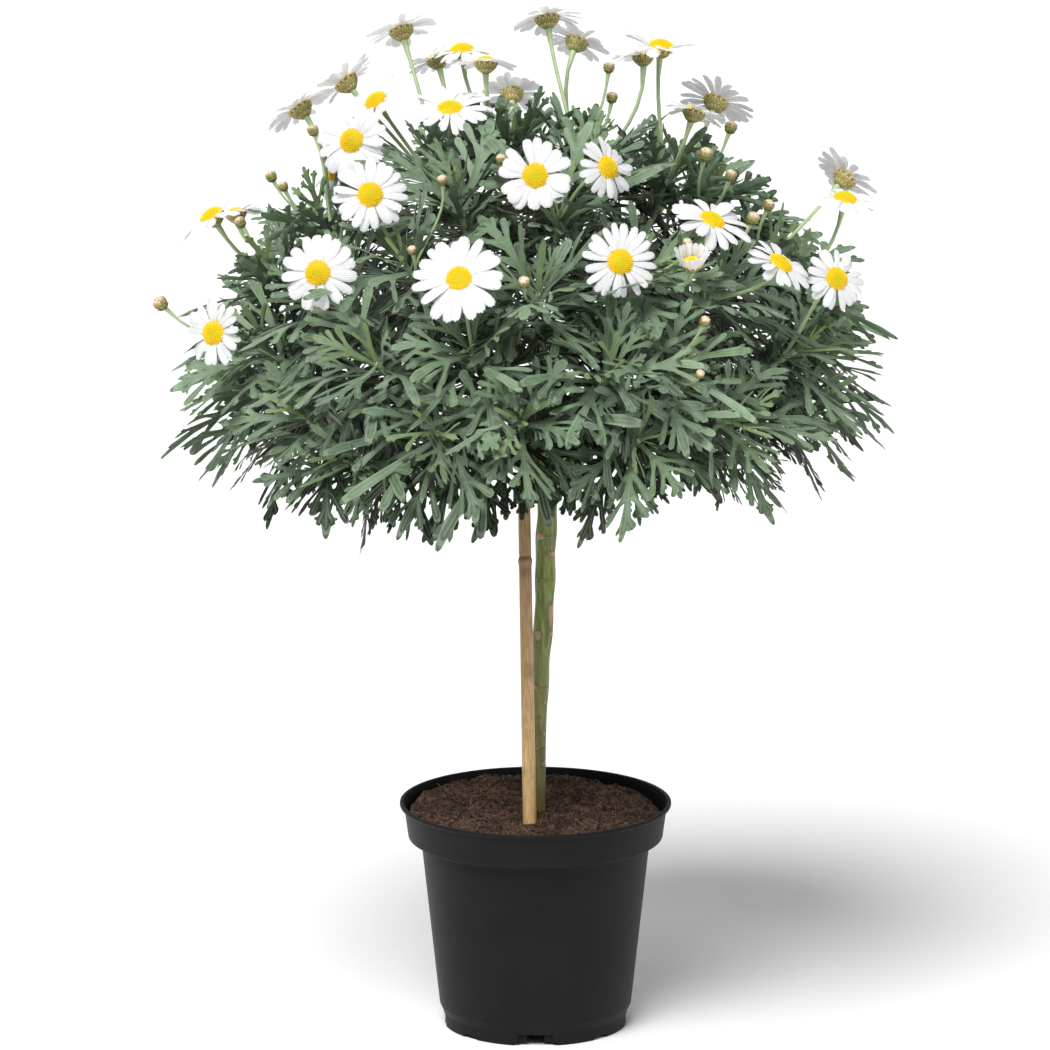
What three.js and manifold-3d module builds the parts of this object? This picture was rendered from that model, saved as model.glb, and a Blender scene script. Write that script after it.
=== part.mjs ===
// A potted standard marguerite daisy: a clear stem tied to a bamboo cane, with a domed crown of lobed
// leaves and white blooms, in a round nursery pot. Millimetres, +Z up, the origin on the ground under
// the middle of the pot, and the side that the photograph shows facing -Y.

import * as THREE from 'three';
import { mergeVertices } from 'three/addons/utils/BufferGeometryUtils.js';
import Module from 'manifold-3d';

const wasm = await Module();
wasm.setup();

// Driving dimensions
const GAP = 0.3;
const DEGREES = Math.PI / 180;
const GOLDEN_ANGLE = 137.508 * DEGREES;
const UP = new THREE.Vector3(0, 0, 1);
const DOWN = new THREE.Vector3(0, 0, -1);

const POT = {
  lipRadius: 95, height: 160, lipDepth: 2.6, collarTop: 92, collarBottom: 89, collarDepth: 25,
  shoulder: 80, baseRadius: 67.3, footRadius: 64.5, footWidth: 6, footHeight: 10, floor: 2,
  wall: 1.4, sides: 24, notches: 4, notchWidth: 12, notchHeight: 8, recessWidth: 30, recessHeight: 2,
};
const SOIL = { top: 153, rings: 3, sides: 14, roughness: 1.6, mound: 5, moundTurn: 25 };
const CANE = { radiusFoot: 5.2, radiusTop: 4.4, foot: [-2.5, -39, 55], top: [-8.2, -5, 392], sides: 8 };
const TRUNK = { sides: 7, lean: 8, foot: 70, footRadius: 6.2, collar: 152, collarRadius: 7, clearOfSoil: 178 };
const ARM = {
  count: 6, turn: 15, x: 6, reach: 52, height: 426, stagger: 5, leader: [6, 2, 474], fork: 388, sag: 4,
  sides: 4, radius: 3.6, swell: 1.4, knob: 5.6, clear: 1.7,
};
const STEM = { foot: 2.1, middle: 2.3, top: 2.4, sides: 4, aside: 3.2, sag: 3 };
const TIE = {
  height: 380, band: 8, thickness: 1.2, knot: 4.6, knotFront: 10.1, roundCane: 6.4, roundStem: 9, steps: 5,
};

// The photograph, in its own pixels: a long lens, level with the horizon in x and looking down a little.
const VIEW = { distance: 5830, height: 1711, x: -7.35, pitch: 13.065 * DEGREES, focal: 8614, centre: 525 };

// The crown. Shoot tips lie on one dome and blooms stand on a larger one.
const CROWN = { x: -2.5, z: 452, reach: 257, heartBelow: 30, fullest: 1.04 };
const TIP_DOME = { radius: 196, rise: 160 };
const BLOOM_DOME = { radius: 236, rise: 204 };
const AIM_BELOW = 78;

// Leaf sizes along a shoot, from the youngest leaf at its tip to the oldest
const LEAF = {
  perShoot: 17, built: [6, 12, 13], sparse: 3, fiveLobed: 6, stem: 30,
  youngest: 24, longest: 84, spread: 13, grown: 0.45, old: 0.8, oldSize: 0.9,
  pitchYoung: 18, pitchOld: 92, pitchSpread: 14, turnSpread: 0.3,
  droopYoung: 0.15, droopOld: 0.95, droopLeast: 0.75, droopSpread: 0.5, hangingStiffness: 0.6,
  pitchUpright: 58, uprightStiffness: 0.5,
  hem: 350, hemRise: 0.25, hemSpread: 125, dip: 32, dipX: -60, dipWidth: 80,
  shortest: 34, shortening: 0.92, domeSide: 1.34, domeTop: 1.3, domeSpread: 0.3,
  facesAxis: 0.7, facesUp: 0.6, facesOut: 0.5, thickness: 1.9, sunk: 0.08, clear: 0.5,
};
const BLOOM = {
  disc: 9, dome: 4.2, thickness: 1.7, cupDepth: 9, cupFoot: 3, stalk: 1.5, full: 50, shootBehind: 30,
};
const PETAL = {
  fewest: 12, foot: 1.6, lengthSpread: 0.07, dip: 0.07, wave: 0.12, halfWidth: 0.33, widthSpread: 0.06,
  twist: 1.6,
};
const HALF_OPEN = { size: 0.75, petals: 9, reach: 5, rise: 11 };
const BUD = { stalk: 1.1 };
const TWIG = { parting: 0.42, radius: 1.9, heartFoot: 36, heart: 17, heartRadius: 10 };

// Outlines of half a blade from the stalk to the tip, as [along, across] in leaf lengths, with the
// number of the rib point that each one is joined to
const THREE_LOBES = {
  ribs: [0.46],
  outline: [[0.40, 0.036, 0], [0.66, 0.25, 0], [0.755, 0.20, 0], [0.62, 0.062, 0], [0.98, 0.068, 0]],
};
const FIVE_LOBES = {
  ribs: [0.36, 0.66],
  outline: [
    [0.27, 0.03, 0], [0.43, 0.235, 0], [0.53, 0.205, 0], [0.48, 0.058, 0],
    [0.60, 0.06, 1], [0.77, 0.26, 1], [0.86, 0.20, 1], [0.76, 0.062, 1], [1.0, 0.066, 1],
  ],
};

// Shoot tips that the photograph shows, in its pixels
const FRONT_TIPS = [
  [240, 390], [265, 350], [306, 420], [374, 362], [350, 462], [436, 432], [470, 350],
  [538, 292], [520, 420], [611, 372], [672, 366], [640, 440],
  [730, 420], [798, 350], [812, 412], [866, 352], [262, 272], [330, 300], [300, 205],
  [404, 262], [457, 198], [425, 130], [505, 108], [560, 205], [590, 112], [640, 270],
  [672, 175], [716, 190], [716, 290], [768, 262], [822, 282],
];
// Shoot tips on the far side, as [turn round the pot from the photographed side, angle from the top]
const BACK_TIPS = [
  [60, 12], [200, 12], [112, 38], [162, 36], [212, 38], [96, 66], [124, 60], [154, 62], [184, 60], [212, 64],
  [240, 58], [264, 70], [104, 94], [134, 90], [162, 86], [190, 84], [216, 92], [244, 90],
  [266, 100], [118, 114], [148, 112], [178, 112], [206, 116], [236, 114],
];

// Blooms in the photograph: pixel of the disc, millimetres further away than the dome, the way that
// the bloom faces (turn from the photographed side to the right, lift above level) and its width
const BLOOMS = [
  { at: [401, 30], away: 30, turn: -150, lift: 56, width: 52 },
  { at: [547, 18], away: 30, turn: -165, lift: 60, width: 52 },
  { at: [577, 42], away: 95, turn: 150, lift: 48, width: 48 },
  { at: [661, 47], away: -20, turn: 30, lift: 78, width: 64 },
  { at: [643, 56], away: 70, turn: -170, lift: 74, width: 46 },
  { at: [437, 60], away: 90, turn: -150, lift: 56, width: 44 },
  { at: [462, 50], away: 30, turn: -30, lift: 82, width: 46 },
  { at: [486, 63], away: -30, turn: 175, lift: 72, width: 46 },
  { at: [512, 94], away: 150, turn: 180, lift: 35, width: 46 },
  { at: [300, 108], away: 20, turn: -125, lift: 46, width: 56 },
  { at: [346, 82], away: 60, turn: -125, lift: 42, width: 50 },
  { at: [376, 101], away: 34, turn: -50, lift: 52, width: 46 },
  { at: [352, 141], away: -8, turn: -22, lift: 22, width: 54 },
  { at: [370, 195], away: 0, turn: 4, lift: 24, width: 52 },
  { at: [450, 109], away: 0, turn: -4, lift: 70, width: 62 },
  { at: [535, 176], away: 0, turn: 4, lift: 20, width: 52 },
  { at: [607, 168], away: 0, turn: 42, lift: 26, width: 46 },
  { at: [716, 102], away: 40, turn: 155, lift: 44, width: 57 },
  { at: [694, 112], away: -40, turn: 140, lift: 62, width: 46 },
  { at: [712, 221], away: 0, turn: 46, lift: 60, width: 60 },
  { at: [318, 273], away: 0, turn: -14, lift: 12, width: 55 },
  { at: [459, 279], away: -6, turn: -8, lift: 34, width: 64 },
  { at: [620, 262], away: 0, turn: 10, lift: 16, width: 53 },
  { at: [212, 216], away: -40, turn: -80, lift: 60, width: 56 },
  { at: [236, 214], away: 60, turn: -150, lift: 66, width: 42 },
  { at: [214, 333], away: -20, turn: -34, lift: 12, width: 48 },
  { at: [845, 178], away: 30, turn: 130, lift: 36, width: 52 },
  { at: [845, 199], away: -45, turn: 40, lift: 74, width: 46 },
  { at: [780, 264], away: -10, turn: 62, lift: 54, width: 50 },
  { at: [836, 279], away: -20, turn: 26, lift: 28, width: 46 },
  { at: [692, 264], away: 0, turn: 0, lift: 66, width: 26, cupped: true },
  { at: [336, 172], away: 105, turn: -70, lift: 34, width: 42 },
];
// Blooms on the far side, placed as the shoot tips there are
const BACK_BLOOMS = [
  [124, 72], [150, 48], [162, 82], [190, 66], [222, 84], [236, 62], [192, 40],
];
const BACK_BLOOM = { width: 52, lift: 32 };

// Closed buds: pixel, millimetres further away than the dome, and width
const BUDS = [
  [157, 303, -80, 11], [271, 176, 10, 9], [240, 222, 20, 9], [313, 130, 0, 9],
  [442, 180, 0, 8], [501, 159, 0, 8], [524, 282, 0, 9],
  [609, 67, 0, 9], [706, 154, 0, 11], [731, 127, 40, 10], [731, 175, 10, 9],
  [769, 205, 20, 9], [753, 218, 0, 10], [705, 321, 0, 8],
];

// Seeded draws between 0 and 1
function drawsFrom(seed) {
  const MODULUS = 2147483647;
  const FACTOR = 48271;
  const WARM_UP = 4;
  let state = (seed * 7919 + 12345) % MODULUS;
  const draw = () => {
    state = (state * FACTOR) % MODULUS;
    return state / MODULUS;
  };
  for (let i = 0; i < WARM_UP; i += 1) draw();
  return draw;
}

// Solids
function solidOf(geometry) {
  const bare = geometry.clone();
  bare.deleteAttribute('normal');
  bare.deleteAttribute('uv');
  const merged = mergeVertices(bare, 1e-4);
  const mesh = new wasm.Mesh({
    numProp: 3,
    vertProperties: new Float32Array(merged.attributes.position.array),
    triVerts: new Uint32Array(merged.index.array),
  });
  return new wasm.Manifold(mesh);
}

function solidOfPoints(points, triangles) {
  const geometry = new THREE.BufferGeometry();
  const numbers = points.flatMap((p) => [p.x, p.y, p.z]);
  geometry.setAttribute('position', new THREE.Float32BufferAttribute(numbers, 3));
  geometry.setIndex(triangles.flat());
  return solidOf(geometry);
}

function geometryOf(solid) {
  const mesh = solid.getMesh();
  const geometry = new THREE.BufferGeometry();
  geometry.setAttribute('position', new THREE.Float32BufferAttribute(mesh.vertProperties, 3));
  geometry.setIndex(Array.from(mesh.triVerts));
  return geometry;
}

function joined(solids) {
  return solids.reduce((whole, piece) => whole.add(piece));
}

// The largest body of a solid, with any loose scrap dropped
function mainBody(solid) {
  const bodies = solid.decompose();
  return bodies.reduce((most, body) => (body.volume() > most.volume() ? body : most));
}

// A tube with its own radius at each point of its path, closed at its foot and pointed or closed at its end
function taperedTube(path, radii, sides, endWay = null) {
  const points = [];
  const triangles = [];
  const pointed = radii[radii.length - 1] === 0;
  const rings = pointed ? path.length - 1 : path.length;
  let normal = null;
  path.slice(0, rings).forEach((centre, i) => {
    const before = path[Math.max(0, i - 1)];
    const after = path[Math.min(path.length - 1, i + 1)];
    const tangent = endWay && i === rings - 1 ? endWay.clone() : after.clone().sub(before).normalize();
    if (!normal) normal = Math.abs(tangent.z) > 0.8 ? new THREE.Vector3(1, 0, 0) : UP.clone();
    normal = normal.clone().addScaledVector(tangent, -normal.dot(tangent)).normalize();
    const binormal = tangent.clone().cross(normal);
    for (let k = 0; k < sides; k += 1) {
      const angle = (2 * Math.PI * k) / sides;
      points.push(centre.clone()
        .addScaledVector(normal, radii[i] * Math.cos(angle))
        .addScaledVector(binormal, radii[i] * Math.sin(angle)));
    }
  });
  for (let i = 0; i + 1 < rings; i += 1) {
    for (let k = 0; k < sides; k += 1) {
      const a = i * sides + k;
      const b = i * sides + ((k + 1) % sides);
      triangles.push([a, b, b + sides], [a, b + sides, a + sides]);
    }
  }
  const last = (rings - 1) * sides;
  for (let k = 1; k + 1 < sides; k += 1) {
    triangles.push([0, k + 1, k]);
    if (!pointed) triangles.push([last, last + k, last + k + 1]);
  }
  if (pointed) {
    points.push(path[rings].clone());
    for (let k = 0; k < sides; k += 1) triangles.push([last + k, last + ((k + 1) % sides), points.length - 1]);
  }
  return solidOfPoints(points, triangles);
}

function vector(values) {
  return new THREE.Vector3(...values);
}

// The way that a turn from the photographed side and a lift above level point
function facing(turn, lift) {
  const level = Math.cos(lift * DEGREES);
  return new THREE.Vector3(
    level * Math.sin(turn * DEGREES),
    -level * Math.cos(turn * DEGREES),
    Math.sin(lift * DEGREES),
  );
}

// The line of sight through a pixel of the photograph
function sightLine([x, y]) {
  const across = (x - VIEW.centre) / VIEW.focal;
  const below = (y - VIEW.centre) / VIEW.focal;
  const forward = new THREE.Vector3(0, Math.cos(VIEW.pitch), -Math.sin(VIEW.pitch));
  const upward = new THREE.Vector3(0, Math.sin(VIEW.pitch), Math.cos(VIEW.pitch));
  const way = forward.addScaledVector(upward, -below);
  way.x = across;
  return { from: new THREE.Vector3(VIEW.x, -VIEW.distance, VIEW.height), way: way.normalize() };
}

// The point that a pixel shows on the near side of a dome, or beside it where the line misses the dome
function photographedPoint(pixel, dome, away) {
  const { from, way } = sightLine(pixel);
  const scale = new THREE.Vector3(1 / dome.radius, 1 / dome.radius, 1 / dome.rise);
  const start = from.clone().sub(vector([CROWN.x, 0, CROWN.z])).multiply(scale);
  const step = way.clone().multiply(scale);
  const a = step.dot(step);
  const b = start.dot(step);
  const inside = b * b - a * (start.dot(start) - 1);
  const distance = inside > 0 ? (-b - Math.sqrt(inside)) / a : -b / a;
  return from.clone().addScaledVector(way, distance + away);
}

function onDome(turn, fromTop, dome) {
  const way = facing(turn, 90 - fromTop);
  return new THREE.Vector3(CROWN.x + way.x * dome.radius, way.y * dome.radius, CROWN.z + way.z * dome.rise);
}

// Where a point lies as seen from the middle of the crown, with the dome made round
function directionInCrown(point) {
  return new THREE.Vector3(
    (point.x - CROWN.x) / TIP_DOME.radius,
    point.y / TIP_DOME.radius,
    (point.z - CROWN.z) / TIP_DOME.rise,
  );
}

// Pot
function potSolid() {
  const lipBottom = POT.height - POT.lipDepth;
  const collarBottom = POT.height - POT.collarDepth;
  const innerFoot = POT.footRadius - POT.footWidth;
  const floorTop = POT.footHeight + POT.floor;
  const profile = [
    [0, POT.footHeight], [innerFoot, POT.footHeight], [innerFoot, 0], [POT.footRadius, 0],
    [POT.footRadius, POT.footHeight - 1], [POT.baseRadius, POT.footHeight + 5],
    [POT.shoulder, collarBottom - 3.5], [POT.collarBottom, collarBottom],
    [POT.collarTop, lipBottom - 1], [POT.lipRadius, lipBottom], [POT.lipRadius, POT.height],
    [POT.lipRadius - 2.6, POT.height], [POT.collarTop - POT.wall, lipBottom - 1],
    [POT.collarBottom - POT.wall, collarBottom + 2.5], [POT.shoulder - POT.wall, collarBottom - 1],
    [POT.baseRadius - POT.wall, POT.footHeight + 6], [innerFoot + 3, floorTop], [0, floorTop],
  ].map(([radius, height]) => new THREE.Vector2(radius, height));
  const lathe = new THREE.LatheGeometry(profile, POT.sides);
  lathe.rotateX(Math.PI / 2);
  let pot = solidOf(lathe);
  const cutter = (width, height, turn) => {
    const box = new THREE.BoxGeometry(width, POT.footWidth * 4, 2 * height);
    box.translate(0, -POT.footRadius + POT.footWidth / 2, 0);
    box.rotateZ(turn);
    return solidOf(box);
  };
  for (let i = 0; i < POT.notches; i += 1) {
    const turn = (i * 360 / POT.notches) * DEGREES;
    pot = pot.subtract(cutter(POT.notchWidth, POT.notchHeight, turn));
    pot = pot.subtract(cutter(POT.recessWidth, POT.recessHeight, turn));
    pot = pot.subtract(cutter(POT.notchWidth, POT.recessHeight, turn + Math.PI / POT.notches));
  }
  return pot;
}

// Compost, with a rough top and plain holes for the stem and the cane
function soilSolid(holes) {
  const draw = drawsFrom(3);
  const collarBottom = POT.height - POT.collarDepth;
  const slope = (POT.collarTop - POT.collarBottom) / (POT.collarDepth - POT.lipDepth - 1);
  const flats = Math.cos(Math.PI / POT.sides);
  const inside = (radius) => (radius - POT.wall) * flats - GAP;
  const rimRadius = inside(POT.collarBottom + slope * (SOIL.top - collarBottom - 2.5));
  const walls = [
    [POT.footRadius - POT.footWidth + 2, POT.footHeight + POT.floor + GAP],
    [inside(POT.baseRadius), POT.footHeight + 7],
    [inside(POT.shoulder), collarBottom - 0.5],
    [inside(POT.collarBottom), collarBottom + 3.2],
    [rimRadius, SOIL.top - 1],
  ];
  const rows = walls.map(([radius, height]) => ({ radius, height, rough: 0 }));
  for (let ring = SOIL.rings - 1; ring > 0; ring -= 1) {
    rows.push({ radius: rimRadius * ring / SOIL.rings, height: SOIL.top, rough: SOIL.roughness });
  }
  const points = [new THREE.Vector3(0, 0, walls[0][1])];
  rows.forEach(({ radius, height, rough }) => {
    for (let k = 0; k < SOIL.sides; k += 1) {
      const angle = (2 * Math.PI * k) / SOIL.sides;
      const share = radius / rimRadius;
      const behind = Math.max(0, Math.sin(angle - SOIL.moundTurn * DEGREES));
      const mound = rough ? SOIL.mound * behind * 4 * share * (1 - share) : 0;
      const lift = mound + rough * (2 * draw() - 1);
      points.push(new THREE.Vector3(radius * Math.cos(angle), radius * Math.sin(angle), height + lift));
    }
  });
  points.push(new THREE.Vector3(0, 0, SOIL.top));
  const triangles = [];
  const apex = points.length - 1;
  for (let k = 0; k < SOIL.sides; k += 1) {
    const next = (k + 1) % SOIL.sides;
    triangles.push([0, 1 + next, 1 + k]);
    for (let row = 0; row + 1 < rows.length; row += 1) {
      const below = 1 + row * SOIL.sides;
      const above = below + SOIL.sides;
      triangles.push([below + k, below + next, above + next], [below + k, above + next, above + k]);
    }
    const top = 1 + (rows.length - 1) * SOIL.sides;
    triangles.push([top + k, top + next, apex]);
  }
  return mainBody(holes.reduce((soil, hole) => soil.subtract(hole), solidOfPoints(points, triangles)));
}

// Bamboo cane, with a swelling at each node
function caneSolid(extra) {
  const foot = vector(CANE.foot);
  const top = vector(CANE.top);
  const nodes = [0.22, 0.535, 0.83];
  const stations = [0, 1, ...nodes.flatMap((at) => [at - 0.012, at, at + 0.012])].sort((p, q) => p - q);
  const path = stations.map((at) => foot.clone().lerp(top, at));
  const radii = stations.map((at) => {
    const swelling = nodes.includes(at) ? 0.8 : 0;
    return THREE.MathUtils.lerp(CANE.radiusFoot, CANE.radiusTop, at) + swelling + extra;
  });
  if (extra > 0) path[0].addScaledVector(top.clone().sub(foot).normalize(), -extra);
  return taperedTube(path, radii, CANE.sides);
}

// Trunk: [x, height, radius] up the stem, which leans a little to the right and has swellings at old scars
const TRUNK_STATIONS = [
  [0, TRUNK.foot, TRUNK.footRadius], [0, TRUNK.collar, TRUNK.collarRadius], [0.6, TRUNK.clearOfSoil, 6.5],
  [1.8, 222, 6.4], [2.8, 243, 6.9], [3.6, 262, 6.4],
  [4.8, 281, 7.1], [6.2, 304, 6.6], [6.9, 320, 7.4], [7.0, 337, 6.9], [7.3, 351, 7.6], [7.8, 366, 6.9],
  [TRUNK.lean, 380, 7.6], [TRUNK.lean, 390, 8.4], [TRUNK.lean, 397, 6.6],
];

// The knobs that the leafy branches grow from: one over the trunk and a ring of six round it
function armKnobs() {
  const knobs = [vector(ARM.leader)];
  for (let i = 0; i < ARM.count; i += 1) {
    const place = facing(ARM.turn + 360 * i / ARM.count, 0).multiplyScalar(ARM.reach);
    knobs.push(place.add(new THREE.Vector3(ARM.x, 0, ARM.height + ARM.stagger * (i % 2))));
  }
  return knobs;
}

function roundKnob(centre, radius) {
  const ball = new THREE.OctahedronGeometry(radius, 0);
  ball.translate(centre.x, centre.y, centre.z);
  return solidOf(ball);
}

function trunkSolid() {
  const path = TRUNK_STATIONS.map(([x, height]) => new THREE.Vector3(x, 0, height));
  const radii = TRUNK_STATIONS.map(([, , radius]) => radius);
  const pieces = [taperedTube(path, radii, TRUNK.sides)];
  armKnobs().forEach((knob) => {
    const fork = new THREE.Vector3(TRUNK.lean, 0, ARM.fork);
    const bend = fork.clone().lerp(knob, 0.5).addScaledVector(DOWN, ARM.sag);
    const arm = new THREE.QuadraticBezierCurve3(fork, bend, knob);
    const radii = [ARM.radius + ARM.swell, ARM.radius + ARM.swell / 3, ARM.radius];
    pieces.push(taperedTube(arm.getPoints(2), radii, ARM.sides));
    pieces.push(roundKnob(knob, ARM.knob));
  });
  return joined(pieces);
}

function soilHole() {
  const path = TRUNK_STATIONS.slice(0, 3).map(([x, height]) => new THREE.Vector3(x, 0, height));
  path[0].z -= GAP;
  const wide = TRUNK.collarRadius + GAP;
  return taperedTube(path, [TRUNK.footRadius + GAP, wide, wide], TRUNK.sides);
}

// The tie: a flat loop round the stem and the cane with a knot between them
function tieSolid() {
  const share = (TIE.height - CANE.foot[2]) / (CANE.top[2] - CANE.foot[2]);
  const cane = vector(CANE.foot).lerp(vector(CANE.top), share);
  const ends = [
    { x: cane.x, y: cane.y, radius: TIE.roundCane },
    { x: TRUNK.lean, y: 0, radius: TIE.roundStem },
  ];
  const lean = Math.atan2(ends[1].y - ends[0].y, ends[1].x - ends[0].x);
  const loop = (grow) => {
    const points = [];
    ends.forEach(({ x, y, radius }, end) => {
      for (let k = 0; k <= TIE.steps; k += 1) {
        const angle = lean + Math.PI * (0.5 + end + k / TIE.steps);
        const out = radius + grow;
        points.push(new THREE.Vector2(x + out * Math.cos(angle), y + out * Math.sin(angle)));
      }
    });
    return points;
  };
  const upright = (outline, depth) => (
    new THREE.ExtrudeGeometry(new THREE.Shape(outline), { depth, bevelEnabled: false }));
  const band = upright(loop(TIE.thickness), TIE.band);
  const opening = upright(loop(0), 3 * TIE.band);
  band.translate(0, 0, TIE.height - TIE.band / 2);
  opening.translate(0, 0, TIE.height - 1.5 * TIE.band);
  const knotPlace = new THREE.Vector3((cane.x + TRUNK.lean) / 2 - 1, -TIE.knotFront, TIE.height);
  return solidOf(band).subtract(solidOf(opening)).add(roundKnob(knotPlace, TIE.knot));
}

// Leafy shoots
function shootTips() {
  const front = FRONT_TIPS.map((pixel) => photographedPoint(pixel, TIP_DOME, 0));
  const back = BACK_TIPS.map(([turn, fromTop]) => onDome(turn, fromTop, TIP_DOME));
  const aim = new THREE.Vector3(CROWN.x, 0, CROWN.z - AIM_BELOW);
  return [...front, ...back].map((tip, index) => {
    const inside = directionInCrown(tip);
    if (inside.length() > CROWN.fullest) {
      const { radius, rise } = TIP_DOME;
      inside.setLength(CROWN.fullest).multiply(new THREE.Vector3(radius, radius, rise));
      tip.copy(inside).add(new THREE.Vector3(CROWN.x, 0, CROWN.z));
    }
    return { index, tip, axis: tip.clone().sub(aim).normalize() };
  });
}

// The middle of each leafy branch's share of the crown, and the knob that the branch grows from
function branchSectors() {
  const sectors = [];
  const ring = (count, turn, fromTop, knobOf) => {
    for (let i = 0; i < count; i += 1) {
      sectors.push({ way: facing(turn + 360 * i / count, 90 - fromTop), knob: knobOf(i) });
    }
  };
  ring(4, 45, 32, () => 0);
  ring(ARM.count, ARM.turn, 67, (i) => 1 + i);
  ring(ARM.count, ARM.turn + 30, 101, (i) => 1 + i);
  return sectors;
}

function nearestSector(point, sectors) {
  const way = directionInCrown(point).normalize();
  let best = 0;
  sectors.forEach((sector, i) => {
    if (sector.way.dot(way) > sectors[best].way.dot(way)) best = i;
  });
  return best;
}

// One leaf of a shoot: where it starts, which way it goes and faces, its length and how far it droops
function leafOf(shoot, number, nudge) {
  const draw = drawsFrom(1000 + shoot.index * 40 + number);
  const age = number / (LEAF.perShoot - 1);
  const turn = GOLDEN_ANGLE * number + shoot.index + nudge.turn * DEGREES + LEAF.turnSpread * (draw() - 0.5);
  const upright = Math.max(0, shoot.axis.z);
  const widest = THREE.MathUtils.lerp(LEAF.pitchOld, LEAF.pitchUpright, upright);
  const opened = THREE.MathUtils.lerp(LEAF.pitchYoung, widest, age ** 0.8);
  const pitch = opened + LEAF.pitchSpread * (draw() - 0.5) + nudge.pitch;
  const swell = Math.min(1, age / LEAF.grown);
  const longest = LEAF.longest + LEAF.spread * (draw() - 0.5) * 2;
  const size = (age > LEAF.old ? LEAF.oldSize : 1) * nudge.size;
  const length = THREE.MathUtils.lerp(LEAF.youngest, longest, swell) * size;
  const softness = LEAF.droopLeast + LEAF.droopSpread * draw();
  const droop = THREE.MathUtils.lerp(LEAF.droopYoung, LEAF.droopOld, age) * softness;
  const side = shoot.axis.clone().cross(UP).normalize();
  const top = side.clone().cross(shoot.axis);
  const outward = side.clone().multiplyScalar(Math.cos(turn)).addScaledVector(top, Math.sin(turn));
  const along = shoot.axis.clone().multiplyScalar(Math.cos(pitch * DEGREES))
    .addScaledVector(outward, Math.sin(pitch * DEGREES)).normalize();
  const face = shoot.axis.clone().multiplyScalar(LEAF.facesAxis).addScaledVector(UP, LEAF.facesUp)
    .addScaledVector(outward, -LEAF.facesOut * Math.cos(pitch * DEGREES));
  const root = shoot.tip.clone().addScaledVector(shoot.axis, -LEAF.stem * age);
  const hanging = Math.max(0, -along.z);
  const bending = (1 - LEAF.hangingStiffness * hanging) * (1 - LEAF.uprightStiffness * upright);
  return hemmed({ root, along, face, length, droop: droop * bending }, softness);
}

// The leaf, made shorter until its tip stays above the hem of the crown and inside the dome over it.
// A soft leaf hangs lower and reaches further
function hemmed(leaf, softness) {
  const tip = () => leaf.root.clone().addScaledVector(leaf.along, leaf.length)
    .addScaledVector(DOWN, 0.5 * leaf.droop * leaf.length);
  const tooLow = (point) => {
    const dip = point.y < 0 ? LEAF.dip * Math.exp(-(((point.x - LEAF.dipX) / LEAF.dipWidth) ** 2)) : 0;
    const hem = LEAF.hem + LEAF.hemRise * Math.hypot(point.x - CROWN.x, point.y) - dip;
    return point.z < hem + LEAF.hemSpread * (1 - softness);
  };
  const tooFar = (point) => {
    const way = directionInCrown(point);
    const upward = Math.max(0, way.z) / way.length();
    const dome = THREE.MathUtils.lerp(LEAF.domeSide, LEAF.domeTop, upward);
    return way.length() > dome + LEAF.domeSpread * (softness - 1);
  };
  while (leaf.length > LEAF.shortest && (tooLow(tip()) || tooFar(tip()))) leaf.length *= LEAF.shortening;
  return leaf;
}

// A lobed blade, split into triangles alike on both faces, that comes to a point deep in its shoot
function leafSolid(leaf, shape, extra) {
  const across = leaf.along.clone().cross(leaf.face).normalize();
  const place = (along, aside, height) => {
    const point = leaf.root.clone().addScaledVector(leaf.along, along * leaf.length)
      .addScaledVector(DOWN, 0.5 * leaf.droop * Math.max(0, along) ** 2 * leaf.length);
    const tangent = leaf.along.clone().addScaledVector(DOWN, leaf.droop * Math.max(0, along));
    const normal = across.clone().cross(tangent).normalize();
    return point.addScaledVector(across, aside * leaf.length).addScaledVector(normal, height);
  };
  const half = LEAF.thickness / 2 + extra;
  const points = [place(-LEAF.sunk, 0, 0)];
  shape.ribs.forEach((along) => points.push(place(along, 0, half), place(along, 0, -half)));
  const rib = (number, under) => 1 + 2 * number + under;
  const edge = (number, side) => 1 + 2 * shape.ribs.length + 2 * number + side;
  shape.outline.forEach(([along, aside]) => {
    const wide = aside + extra / leaf.length;
    points.push(place(along, wide, 0), place(along, -wide, 0));
  });
  const triangles = [];
  const face = (a, b, c, flip) => triangles.push(flip ? [a, c, b] : [a, b, c]);
  [0, 1].forEach((under) => {
    [0, 1].forEach((side) => {
      const flip = under !== side;
      face(rib(0, under), edge(0, side), 0, !flip);
      for (let i = 0; i + 1 < shape.outline.length; i += 1) {
        const here = shape.outline[i][2];
        const next = shape.outline[i + 1][2];
        face(rib(next, under), edge(i + 1, side), edge(i, side), !flip);
        if (next !== here) face(rib(here, under), rib(next, under), edge(i, side), !flip);
      }
    });
    const last = shape.outline.length - 1;
    const tip = rib(shape.ribs.length - 1, under);
    face(tip, edge(last, 1), edge(last, 0), under === 0);
  });
  const solid = solidOfPoints(points, triangles);
  return solid.volume() < 0 ? null : solid;
}

// Flower stalks, cups and buds
function bloomPlaces() {
  const front = BLOOMS.map((bloom) => ({
    centre: photographedPoint(bloom.at, BLOOM_DOME, bloom.away),
    faces: facing(bloom.turn, bloom.lift),
    width: bloom.width,
    cupped: Boolean(bloom.cupped),
  }));
  const back = BACK_BLOOMS.map(([turn, fromTop]) => ({
    centre: onDome(turn, fromTop, BLOOM_DOME),
    faces: facing(turn, BACK_BLOOM.lift + (90 - fromTop) / 2),
    width: BACK_BLOOM.width,
    cupped: false,
  }));
  return [...front, ...back];
}

function budPlaces() {
  return BUDS.map(([x, y, away, width]) => {
    const centre = photographedPoint([x, y], BLOOM_DOME, away);
    const faces = directionInCrown(centre).add(UP).normalize();
    return { centre, faces, width };
  });
}

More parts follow.
